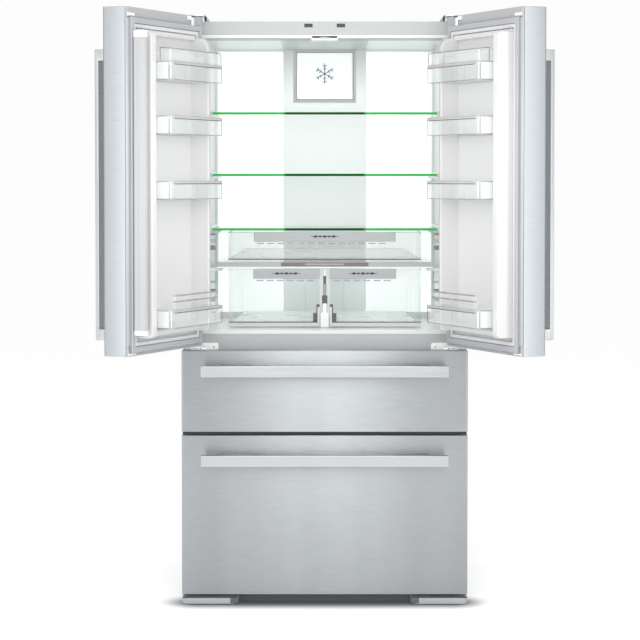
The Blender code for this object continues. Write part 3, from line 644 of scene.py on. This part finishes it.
# ---------------------------------------------------------------- inside
def interior():
    """Lit back wall with the air duct, and the glass shelves with edges, runners and stops."""
    # painted light: the duct panel glows, with painted shade at its top
    fine("air_duct_panel", DUCT, 0.0020, 3)
    for number in (1, 2, 3):
        node = f"glass_shelf_{number}"
        low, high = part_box(node)
        fine(node, GLASS, 0.0005, 2)
        edge_y = low.y - FRONT_Y
        strip = block((low.x, high.x), (edge_y - 0.0014, edge_y + 0.0004), (low.z - 0.0016, high.z + 0.0012))
        here(f"{node}_edge", strip, EDGE, 0.0005, 2)
        for name, side in SIDES.items():
            runner = block((side * 0.3725, side * 0.3818), (0.214, 0.640), (low.z - 0.010, high.z + 0.006))
            here(f"shelf_runner_{number}_{name}", runner, BRIGHT_WHITE, 0.0012)
            stop = block((side * 0.3650, side * 0.3725), (0.2090, 0.2150), (low.z - 0.004, high.z + 0.003))
            here(f"shelf_stop_{number}_{name}", stop, LIGHT_GREY, 0.0008)
    wall_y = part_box("air_duct_panel")[1].y - FRONT_Y
    for name, side in SIDES.items():
        panel = block((side * 0.1440, side * 0.3720), (wall_y - 0.004, wall_y), (0.885, 1.790))
        here("light_panel_" + name, panel, GLOW, 0.0015)
    # painted shade: a grey-green plate on the ceiling over the duct, where only shade falls
    painted_shade_plate = block((-DUCT_HALF, DUCT_HALF), (0.2000, 0.6510), (1.7958, 1.7987))
    here("painted_ceiling_shade_plate", painted_shade_plate, CEILING_PAINTED_SHADE, 0.0012)
    # painted shade: a darker grey strip on the ceiling just behind the front flange
    strip = block((-0.3780, 0.3780), (0.1210, 0.2000), (1.7966, 1.7987))
    here("painted_ceiling_shade_strip", strip, LABEL, 0.0008)
    vent_cover()
    crisper_shelf()
    divider()


def vent_cover():
    """Framed cover over the fan outlet, with a plain snowflake on it."""
    low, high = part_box("vent_cover")
    y = low.y - FRONT_Y
    x = (low.x, high.x)
    z = (low.z, high.z)
    # painted light: the vent cover glows though it is no lamp
    fine("vent_cover", PANEL, 0.0012, 3)
    wide = 0.0100
    here("vent_frame", frame_ring(x, (y - 0.0015, y + 0.004), z, wide), LIGHT_GREY, 0.0012)
    inner_x = (low.x + wide, high.x - wide)
    inner_z = (low.z + wide, high.z - wide)
    line = frame_ring(inner_x, (y - 0.0008, y + 0.003), inner_z, 0.0016)
    here("vent_shadow_line", line, INK)
    arms = []
    middle = Vector((0, 0, 1.7130))
    for number in range(6):
        turn = Matrix.Translation(middle) @ Matrix.Rotation(number * pi / 3, 4, "Y")
        bars = [block((-0.0013, 0.0013), (0, 0.0010), (0, 0.036))]
        for height, reach in ((0.014, 0.008), (0.024, 0.010)):
            for side in (-1, 1):
                branch = block((-0.0011, 0.0011), (0, 0.0010), (0, reach))
                lean = Matrix.Translation((0, 0, height)) @ Matrix.Rotation(side * pi / 3.4, 4, "Y")
                bmesh.ops.transform(branch, matrix=lean, verts=branch.verts)
                bars.append(branch)
        arm = gathered(*bars)
        bmesh.ops.transform(arm, matrix=turn, verts=arm.verts)
        arms.append(arm)
    flake = gathered(*arms)
    bmesh.ops.translate(flake, vec=(0, y + 0.0018, 0), verts=flake.verts)
    here("snowflake", flake, BLUE_INK)


def crisper_shelf():
    """Shelf over the lower crispers, with a two-tone front bar."""
    fine("crisper_cover", CRISP, 0.0010, 3)
    low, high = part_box("crisper_cover")
    y = low.y - FRONT_Y
    x = (low.x, high.x)
    bar = block(x, (y - 0.0030, y + 0.003), (low.z + 0.0050, high.z))
    here("crisper_shelf_bar", bar, LABEL, 0.0012)
    lip = block(x, (y - 0.0035, y + 0.003), (low.z, low.z + 0.0050))
    here("crisper_shelf_lip", lip, BRIGHT_WHITE, 0.0010)
    middle = block((-DUCT_HALF, DUCT_HALF), (y - 0.0036, y - 0.0025), (low.z + 0.0062, high.z - 0.0015))
    here("crisper_shelf_inset", middle, SMOKE, 0.0004)
    core = block((-0.0640, 0.0640), (y - 0.0040, y - 0.0030), (low.z + 0.0095, high.z - 0.0045))
    here("crisper_shelf_core", core, TAUPE, 0.0003)
    for name, side in SIDES.items():
        for number, height in enumerate((1.166, 1.142, 1.118, 1.010, 0.980, 0.950, 0.912, 0.880)):
            front = 0.215 + 0.004 * (number % 2)
            tall = 0.006 + 0.004 * (number % 3)
            lug = block((side * 0.3560, side * 0.3818), (front, 0.240), (height, height + tall))
            here(f"runner_lug_{name}_{number}", lug, LABEL if number % 2 else OUTLINE, 0.0015)
        rail = block((side * 0.3560, side * 0.3815), (0.216, 0.620), (1.168, 1.176))
        here("upper_crisper_rail_" + name, rail, LIGHT_GREY, 0.0015)


def divider():
    """Stepped post between the lower crispers."""
    fine("crisper_divider", WHITE, 0.0008, 2)
    for label, half, y, z, look, slot, bevel in (
        ("post", 0.0036, (0.2186, 0.2245), (1.0330, 1.0575), BRIGHT_WHITE, "white_plastic", 0.0010),
        ("hook", 0.0046, (0.2180, 0.2245), (1.0060, 1.0330), UMBER, "grey_plastic", 0.0010),
        ("stem", 0.0056, (0.2176, 0.2245), (0.9690, 1.0065), TAUPE, "grey_plastic", 0.0018),
        ("step", 0.0088, (0.2172, 0.2228), (0.9400, 0.9695), UMBER, "grey_plastic", 0.0020),
        ("peak", 0.0060, (0.2162, 0.2220), (0.9130, 0.9440), BRIGHT_WHITE, "white_plastic", 0.0022),
        ("base", 0.0140, (0.2156, 0.2205), (0.8640, 0.9140), BRIGHT_WHITE, "white_plastic", 0.0020),
    ):
        here("divider_" + label, block((-half, half), y, z), look, bevel)


def pictogram(middle_x, y, z):
    """A row of plain ovals on a line, in place of pictures of what the drawer keeps."""
    shapes = []
    count = 5
    wide = 0.074
    for number in range(count):
        x = middle_x + (number - (count - 1) / 2) * wide / count
        radius = wide / count * (0.36 if number % 2 else 0.46)
        pod = rod(radius, (x, y - 0.0008, z), (x, y + 0.0008, z), 20)
        bmesh.ops.scale(pod, vec=(1, 1, 0.55), space=Matrix.Translation((-x, -y, -z)), verts=pod.verts)
        shapes.append(pod)
    half = wide * 0.62
    line_y = (y - 0.0006, y + 0.0006)
    shapes.append(block((middle_x - half, middle_x + half), line_y, (z - 0.0007, z + 0.0007)))
    return gathered(*shapes)


def crisper_bed(side, inner, outer, z):
    """Thin tray floor that narrows and rises towards the back of a crisper."""
    taper = 0.036
    inner_back = inner + (taper if inner < 0 else 0.0)
    front, rear = 0.222, 0.600
    rise, thick = 0.020, 0.0008
    corners = [
        (side * inner, front, z), (side * outer, front, z),
        (side * (outer - taper), rear, z + rise), (side * inner_back, rear, z + rise),
    ]
    return extruded(corners, (0, 0, thick))


def crispers():
    """Clear drawers with a grey grip strip, a row of grip dashes and rounded rims."""
    for node, body, side in (
        ("crisper_upper", "upper_crisper", 0),
        ("crisper_lower_left", "left_crisper", -1),
        ("crisper_lower_right", "right_crisper", 1),
    ):
        fine(node, CRISP, 0.0008, 3)
        low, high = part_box(node)
        x = (low.x + 0.0005, high.x - 0.0005)
        front = 0.2165
        if side == 0:
            strip_x = (-0.2305, 0.2305)
            strip_z = (1.1455, 1.1770)
        else:
            strip_x = (side * 0.0172, side * 0.2325)
            strip_z = (1.0245, 1.0570)
        strip = block(strip_x, (0.2055, 0.2135), strip_z)
        here(node + "_strip", strip, LABEL, 0.0020, body=body)
        middle = (strip_x[0] + strip_x[1]) / 2
        icon = pictogram(middle, 0.2052, sum(strip_z) / 2 + 0.001)
        here(node + "_icon", icon, INK, body=body)
        dashes = []
        dash_z = (strip_z[0] - 0.0085, strip_z[0] - 0.0045)
        start = min(strip_x) + 0.010
        while start < max(strip_x) - 0.024:
            dashes.append(block((start, start + 0.0230), (0.2135, 0.2162), dash_z))
            start += 0.0330
        here(node + "_dashes", gathered(*dashes), LABEL, 0.0006, body=body)
        spans = ((high.z - 0.0032, high.z), (high.z - 0.0034, high.z - 0.0002))
        rim = rim_bars(x, (front, 0.609), spans, 0.0032)
        here(node + "_rim", rim, CRISP, 0.0008, body=body)
        if side:
            inner_x = side * 0.0165
            guards = []
            for wide, ahead, z in ((0.0270, 0.0016, (0.038, 0.073)), (0.0380, 0.0018, (0.0125, 0.044))):
                guard_y = (front - ahead, front + 0.001)
                guards.append(block((inner_x, side * wide), guard_y, (low.z + z[0], low.z + z[1])))
            here(node + "_corner", gathered(*guards), UMBER, 0.0012, body=body)
            # painted shade: the inner corner trim takes the shaded floor's grey-green
            trim = block((inner_x, side * 0.0235), (front - 0.0026, front), (low.z, low.z + 0.064))
            here(node + "_corner_inner", trim, SKIRT_PAINTED_SHADE, 0.0010, body=body)
        skirt = 0.0125 if side else 0.0
        # painted shade: a grey-green band over the lowest part of the clear front, standing in for the shaded
        # floor behind it
        if side:
            band = block(x, (front - 0.0012, front + 0.0010), (low.z, low.z + skirt))
            here(node + "_skirt", band, SKIRT_PAINTED_SHADE, 0.0008, body=body)
        # painted shadow: a dark line along the bottom of each crisper's front
        foot = block(x, (front - 0.0014, front + 0.0010), (low.z + skirt, low.z + skirt + 0.0034))
        here(node + "_foot", foot, UMBER, 0.0005, body=body)
        bed = crisper_bed(side or 1, 0.0200 if side else -0.3110, 0.3110, low.z + 0.004)
        here(node + "_bed", bed, MIST, body=body)
        for number, inset in enumerate((0.003, 0.045)):
            for end, across in (("low", x[0] + inset), ("high", x[1] - inset - 0.002)):
                ridge_y = (front - 0.0012, front + 0.0004)
                ridge = block((across, across + 0.0020), ridge_y, (low.z + 0.008, high.z - 0.050))
                here(f"{node}_ridge_{end}_{number}", ridge, CRISP, 0.0006, body=body)


# ---------------------------------------------------------------- doors
def doors():
    for name, side in SIDES.items():
        fine(name + "_door_skin", STEEL, 0.0006, 2)
        fine(name + "_door_handle", BAR_UPRIGHT, 0.0012, 3)
        door_frame(name, side)
        door_liner(name, side)
        gasket(name, side)
        for level, top in BIN_TOPS.items():
            door_bin(name, side, level, top)
        lid(name, side)
    mullion()


def door_frame(name, side):
    """End caps and gasket strips, with the sloping trim between them and the steel edge."""
    fine(name + "_door_frame", GREY, 0.0014, 3)
    for label, outer, inner in (("free", 0.0036, 0.0147), ("hinge", 0.4509, 0.4398)):
        lean = 0.0016 if inner > outer else -0.0016
        outline = [
            (side * outer, 0.0783), (side * inner, 0.0783), (side * inner, 0.0868),
            (side * (inner - lean), 0.0868), (side * outer, 0.0800),
        ]
        on_door(name, "trim_" + label, prism(outline, (0.8500, 1.8290)), LIGHT_GREY, 0.0005)
    for label, z in (("top", (1.8345, 1.8440)), ("bottom", (0.8230, 0.8290))):
        tab = block((side * 0.0040, side * 0.0440), (0.0850, 0.0875), z)
        on_door(name, "cap_tab_" + label, tab, BRIGHT_WHITE, 0.0012)
    x, y = side * 0.3880, 0.0865
    knuckle = rod(0.0122, (x, y, 1.8290), (x, y, 1.8550), 40)
    on_door(name, "hinge_knuckle", knuckle, BRIGHT, 0.0010)
    crown = rod(0.0118, (x, y, 1.8552), (x, y, 1.8585), 40)
    on_door(name, "hinge_knuckle_cap", crown, DARK, 0.0008)
    tab = block((side * 0.3560, side * 0.3740), (0.0845, 0.0930), (1.8460, 1.8585))
    on_door(name, "hinge_tab", tab, BRIGHT_WHITE, 0.0012)
    seam = block((side * 0.0040, side * 0.4490), (0.0852, 0.0864), (1.8296, 1.8312))
    on_door(name, "cap_seam", seam, DARK)


def door_liner(name, side):
    """White inner panel with two dikes, whose tops are rounded off, and a raised border."""
    low_z, high_z = 0.874, 1.789
    field = block((side * 0.0305, side * 0.4105), (0.0785, 0.0867), (0.852, 1.8115))
    stands_for = (name + "_door_liner",)
    on_door(name, "liner_field", field, DOOR_WHITE, 0.0030, 4, stands_for)
    for label, z, deep in (
        ("top", (high_z - 0.008, high_z + 0.0085), 0.100),
        ("bottom", (low_z, low_z + 0.016), 0.112),
    ):
        border = block((side * 0.0400, side * 0.3880), (0.0840, deep), z)
        on_door(name, "liner_border_" + label, border, DOOR_WHITE, 0.0050, 4)
    reach = 0.1488
    steps = 8
    for label, x, crown in (("free", (0.0360, 0.0660), 0.016), ("hinge", (0.3780, 0.3900), 0.040)):
        outline = [(0.0840, low_z), (0.1400, low_z), (reach, low_z + 0.009)]
        for i in range(steps + 1):
            angle = i / steps * pi / 2
            outline.append((reach - crown * (1 - cos(angle)), high_z - crown + crown * sin(angle)))
        outline.append((0.0840, high_z))
        dike = slab(outline, (side * x[0], side * x[1]))
        on_door(name, "dike_" + label, dike, DOOR_WHITE, 0.0035, 4)
    rim = frame_ring((side * 0.0232, side * 0.4112), (0.0860, 0.0972), (0.8492, 1.8118), 0.0120)
    on_door(name, "liner_rim", rim, DOOR_WHITE, 0.0025, 4)
    step = block((side * 0.0650, side * 0.0790), (0.0840, 0.0960), (low_z + 0.014, high_z - 0.014))
    on_door(name, "liner_step", step, BRIGHT_WHITE, 0.0040, 4)
    edge = block((side * 0.3882, side * 0.3907), (0.1450, 0.1491), (low_z + 0.010, high_z - 0.042))
    on_door(name, "dike_edge", edge, GREY, 0.0003)
    for level, top in BIN_TOPS.items():
        for label, x in (("free", (0.0655, 0.0674)), ("hinge", (0.3766, 0.3785))):
            boss = block((side * x[0], side * x[1]), (0.104, 0.132), (top - 0.050, top - 0.012))
            on_door(name, f"bin_hook_{level}_{label}", boss, DOOR_WHITE, 0.0009)


def gasket(name, side):
    """Bellows seal with a flat magnet strip along its face."""
    profile = [
        (0.0000, 0.0990), (0.0010, 0.0995), (0.0155, 0.0995), (0.0165, 0.0990), (0.0165, 0.0958),
        (0.0120, 0.0944), (0.0145, 0.0925), (0.0112, 0.0908), (0.0138, 0.0890), (0.0125, 0.0875),
        (0.0040, 0.0875), (0.0027, 0.0890), (0.0053, 0.0908), (0.0020, 0.0925), (0.0045, 0.0944),
        (0.0000, 0.0958),
    ]
    ring = ring_sweep(profile, (side * 0.006, side * 0.4285), (0.832, 1.829))
    on_door(name, "gasket_bellows", ring, SEAL, 0.0004, 2, replaces=(name + "_door_gasket",))


def door_bin(name, side, level, top):
    """Clear bin with a smoky rail along its front edge, painted dark lines where its walls turn that stand in
    for refraction at the clear edges, and a painted highlight at its near corner.
    """
    node = f"{name}_bin_{level}"
    fine(node, CLEAR, 0.0007, 2)
    low = top - BIN_HEIGHT
    near, far = side * BIN_NEAR, side * BIN_FAR
    rail = block((side * 0.0780, far), (0.1960, 0.2002), (top - 0.0075, top + 0.0005))
    on_door(name, f"rail_{level}", rail, RAIL, 0.0012)
    under = block((side * 0.0860, far), (0.1962, 0.2005), (top - 0.0092, top - 0.0074))
    on_door(name, f"rail_line_{level}", under, UMBER, 0.0005)
    crest = block((side * 0.0800, far), (0.1960, 0.2004), (top - 0.0006, top + 0.0010))
    on_door(name, f"rail_crest_{level}", crest, TAUPE, 0.0005)
    # painted shade: thin dark lines where the clear walls turn, standing in for refraction at those edges
    lines = [
        block((near, near + side * 0.0020), (0.0912, 0.0930), (low, top)),
        block((near, near + side * 0.0018), (0.0912, 0.1850), (low, low + 0.0018)),
        block((side * 0.0820, far), (0.1974, 0.1992), (low, low + 0.0018)),
        block((far - side * 0.0018, far), (0.1974, 0.1992), (low, top)),
        block((near, near + side * 0.0016), (0.0912, 0.1850), (top - 0.0016, top)),
        block((side * 0.0820, far), (0.0912, 0.0926), (low, low + 0.0016)),
    ]
    on_door(name, f"lines_{level}", gathered(*lines), OUTLINE, 0.0005)
    # painted highlight: a white rod at the near front corner of each bin
    painted_glint = rod(0.0020, (side * 0.0722, 0.1940, low + 0.004), (side * 0.0722, 0.1940, top - 0.003), 16)
    on_door(name, f"glint_{level}", painted_glint, BRIGHT_WHITE, 0.0008)
    end = block((near + side * 0.0004, near + side * 0.0022), (0.0950, 0.1870), (low + 0.003, top - 0.003))
    on_door(name, f"end_{level}", end, FROST, 0.0006)
    for number, place_x in enumerate((0.150, 0.225, 0.300)):
        rib = block((side * place_x, side * (place_x + 0.0018)), (0.1955, 0.1975), (low + 0.004, top - 0.013))
        on_door(name, f"rib_{level}_{number}", rib, CLEAR, 0.0005)
    if level == "bottom":
        for number, height in enumerate((0.982, 1.000), start=1):
            wire = rod(0.0026, (side * 0.0880, 0.1925, height), (side * 0.3560, 0.1925, height), 16)
            on_door(name, f"guard_wire_{number}", wire, TAUPE, 0.0006)


def lid(name, side):
    """Clear flap with painted dark lines along its edges, standing in for refraction at the clear edges, a
    painted highlight and a finger lip.
    """
    fine(name + "_bin_lid", CLEAR, 0.0007, 2)
    near, far = side * BIN_NEAR, side * BIN_FAR
    curve = [
        (side * x, y, z)
        for x, y, z in (
            (0.0692, 0.1600, 1.7405), (0.0700, 0.1720, 1.7400), (0.0730, 0.1860, 1.7385),
            (0.0800, 0.1955, 1.7372), (0.1000, 0.1962, 1.7376), (0.3755, 0.1962, 1.7380),
        )
    ]
    # painted shade: dark lines along the lid's edges, standing in for refraction
    lines = [rod(0.0011, start, end, 10) for start, end in zip(curve, curve[1:])]
    lines += [
        block((near, near + side * 0.0016), (0.1592, 0.1608), (1.7022, 1.7400)),
        block((near, near + side * 0.0020), (0.1030, 0.1050), (1.7022, 1.7380)),
        block((far - side * 0.0018, far), (0.1954, 0.1972), (1.7022, 1.7380)),
    ]
    on_door(name, "lid_lines", gathered(*lines), UMBER, 0.0005, body=name + "_lid")
    # painted highlight: a white rod at the lid's near front corner
    painted_glint = rod(0.0020, (side * 0.0722, 0.1925, 1.7040), (side * 0.0722, 0.1925, 1.7350), 16)
    on_door(name, "lid_glint", painted_glint, BRIGHT_WHITE, 0.0008, body=name + "_lid")


def mullion():
    """Grey flip bar with white end caps and a groove down its face."""
    axis_x, axis_y, half, tip = 0.0165, 0.1085, 0.008, 0.1425

    def outline(grow):
        points = [(-axis_x + half + grow, tip + grow), (-axis_x - half - grow, tip + grow)]
        for i in range(13):
            angle = pi + i / 12 * pi
            points.append((-axis_x + (half + grow) * cos(angle), axis_y + (half + grow) * sin(angle)))
        return points

    low, high = 0.884, 1.790
    bar = prism(outline(0), (low + 0.014, high - 0.020))
    body = "mullion_bar"
    on_door("left", "mullion_bar", bar, BAR_GREY, 0.0010, replaces=("mullion",), body=body)
    for label, z in (("bottom", (low, low + 0.0145)), ("top", (high - 0.0205, high))):
        cap = prism(outline(0.0004), z)
        on_door("left", "mullion_cap_" + label, cap, BRIGHT_WHITE, 0.0015, body=body)
    face = half - axis_x
    groove = block((face - 0.0002, face + 0.0004), (0.118, 0.1195), (low + 0.020, high - 0.032))
    on_door("left", "mullion_groove", groove, SEAL, body=body)


# ---------------------------------------------------------------- drawers
def drawers():
    """Freezer drawers with a painted shade strip on top of each handle, bellows seal and rimmed basket, and a
    painted shadow strip along the flange above the upper drawer.
    """
    lip = block((-0.4500, 0.4500), (0.0120, 0.0220), (0.5400, 0.5506))
    here("upper_drawer_lip", lip, DARK, 0.0008, body="upper_drawer")
    # painted shadow: a dark strip along the flange just above the upper drawer
    crest = block((-0.4400, 0.4400), (FLANGE_Y - 0.0012, FLANGE_Y + 0.0010), (0.7990, 0.8032))
    here("flange_shadow_strip", crest, GREY, 0.0004)
    for name in ("upper", "lower"):
        fine(name + "_drawer_skin", STEEL, 0.0006, 2)
        fine(name + "_drawer_handle", BAR_LEVEL, 0.0016, 4)
        fine(name + "_drawer_panel", GREY, 0.0020, 3)
        fine(name + "_drawer_basket", WHITE, 0.0012, 3)
        low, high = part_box(name + "_drawer_handle")
        y = low.y - FRONT_Y
        z = (high.z - 0.0006, high.z + 0.0005)
        # painted shade: a dark strip on the top face of each handle
        handle_shade_strip = block((low.x + 0.001, high.x - 0.001), (y + 0.003, y + 0.006), z)
        here(name + "_handle_painted_shade", handle_shade_strip, DARK, 0.0003, body=name + "_drawer")
        low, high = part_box(name + "_drawer_panel")
        y = high.y - FRONT_Y
        x = (low.x + 0.006, high.x - 0.006)
        z = (low.z + 0.004, high.z - 0.004)
        profile = [
            (0.0000, y + 0.0118), (0.0150, y + 0.0118), (0.0150, y + 0.0085), (0.0110, y + 0.0060),
            (0.0135, y + 0.0035), (0.0115, y + 0.0003), (0.0035, y + 0.0003), (0.0015, y + 0.0035),
            (0.0040, y + 0.0060), (0.0000, y + 0.0085),
        ]
        seal = ring_sweep(profile, x, z)
        here(name + "_drawer_gasket", seal, SEAL, 0.0005, 2, body=name + "_drawer")
        low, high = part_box(name + "_drawer_basket")
        rim_x = (low.x - 0.003, high.x + 0.003)
        rim_y = (low.y - FRONT_Y + 0.001, high.y - FRONT_Y + 0.003)
        rim = rim_bars(rim_x, rim_y, ((high.z - 0.006, high.z),), 0.006)
        here(name + "_basket_rim", rim, WHITE, 0.0018, body=name + "_drawer")


# ---------------------------------------------------------------- studio
def area_light(name, place_at, aim, size, power, colour=(1, 1, 1)):
    """A rectangular light, unseen by the camera."""
    light = bpy.data.lights.new(name, "AREA")
    light.shape = "RECTANGLE"
    light.size, light.size_y = size
    light.energy = power
    light.color = colour
    obj = bpy.data.objects.new(name, light)
    obj.location = place_at
    obj.rotation_euler = (Vector(aim) - Vector(place_at)).to_track_quat("-Z", "Y").to_euler()
    obj.visible_camera = False
    bpy.context.scene.collection.objects.link(obj)


def floor_look():
    """White floor, with a painted oval shadow, gently edged, where the front of the refrigerator stands."""
    made, tree, shader = nodes_of("floor_white")
    joined = add(tree, "CombineXYZ")
    for axis, centre, core, reach in (("X", 0.0, 0.40, 0.55), ("Y", FRONT_Y + 0.035, 0.0, 0.125)):
        offset = maths(tree, "ABSOLUTE", maths(tree, "SUBTRACT", along(tree, axis), centre))
        tree.links.new(ranged(tree, offset, (core, reach)), joined.inputs[axis])
    length = add(tree, "VectorMath")
    length.operation = "LENGTH"
    tree.links.new(joined.outputs["Vector"], length.inputs[0])
    # painted shadow: the floor darkens to 0.13 in an oval at the front of the refrigerator
    painted_shadow = ranged(tree, length.outputs["Value"], (0.15, 1.0), smooth=True)
    lit(tree, shader, ramp(tree, painted_shadow, (0.0, (0.13, 0.13, 0.135)), (1.0, (0.90, 0.90, 0.90))), 0.37)
    shader.inputs["Roughness"].default_value = 0.9
    return made


def studio():
    scene = bpy.context.scene
    scene.view_settings.view_transform = "Standard"
    world = bpy.data.worlds.new("studio")
    world.use_nodes = True
    tree = world.node_tree
    backdrop = tree.nodes["Background"]
    backdrop.inputs["Strength"].default_value = 0.98
    lighting = tree.nodes.new("ShaderNodeBackground")
    lighting.inputs["Strength"].default_value = 0.72
    for shader in (backdrop, lighting):
        shader.inputs["Color"].default_value = (1, 1, 1, 1)
    path = tree.nodes.new("ShaderNodeLightPath")
    mixed = tree.nodes.new("ShaderNodeMixShader")
    tree.links.new(path.outputs["Is Camera Ray"], mixed.inputs["Fac"])
    tree.links.new(lighting.outputs["Background"], mixed.inputs[1])
    tree.links.new(backdrop.outputs["Background"], mixed.inputs[2])
    tree.links.new(mixed.outputs["Shader"], tree.nodes["World Output"].inputs["Surface"])
    scene.world = world

    floor_mesh = bpy.data.meshes.new("floor")
    bm = bmesh.new()
    bmesh.ops.create_grid(bm, x_segments=1, y_segments=1, size=40)
    bm.to_mesh(floor_mesh)
    bm.free()
    floor = bpy.data.objects.new("floor", floor_mesh)
    floor_mesh.materials.append(floor_look())
    scene.collection.objects.link(floor)

    area_light("key", (-0.05, -3.2, 2.00), (-0.05, 0, 1.35), (1.25, 2.1), 20.0, (1.0, 0.985, 0.965))
    for name, side in SIDES.items():
        aim = (side * 0.592, -0.529, 1.35)
        area_light("side_" + name, (side * 1.284, -1.119, 1.35), aim, (0.28, 1.7), 3.8)
    area_light("top", (0.0, -0.6, 4.0), (0, 0, 0), (4, 3), 22)
    area_light("room", (0.0, FRONT_Y + 0.20, 1.770), (0, FRONT_Y + 0.45, 1.0), (0.62, 0.10), 0.45)
    area_light("cavity", (0.0, FRONT_Y - 0.8, 1.50), (0, FRONT_Y + 0.6, 1.00), (0.8, 0.35), 2.6)
    area_light("upper_drawer_light", (0, FRONT_Y + 0.42, 1.181), (0, FRONT_Y + 0.42, 0), (0.60, 0.34), 0.42)
    area_light("lower_drawer_light", (0, FRONT_Y + 0.42, 1.054), (0, FRONT_Y + 0.42, 0), (0.62, 0.36), 1.05)

    camera = bpy.data.cameras.new("camera")
    camera.sensor_width = 36
    camera.lens = LENS
    camera.shift_x, camera.shift_y = LENS_SHIFT
    camera.clip_end = 100
    holder = bpy.data.objects.new("camera", camera)
    holder.location = (0, FRONT_Y - CAMERA_DISTANCE, CAMERA_HEIGHT)
    holder.rotation_euler = (pi / 2 - CAMERA_PITCH, 0, 0)
    scene.collection.objects.link(holder)
    scene.camera = holder


studio()
cabinet()
interior()
crispers()
doors()
drawers()
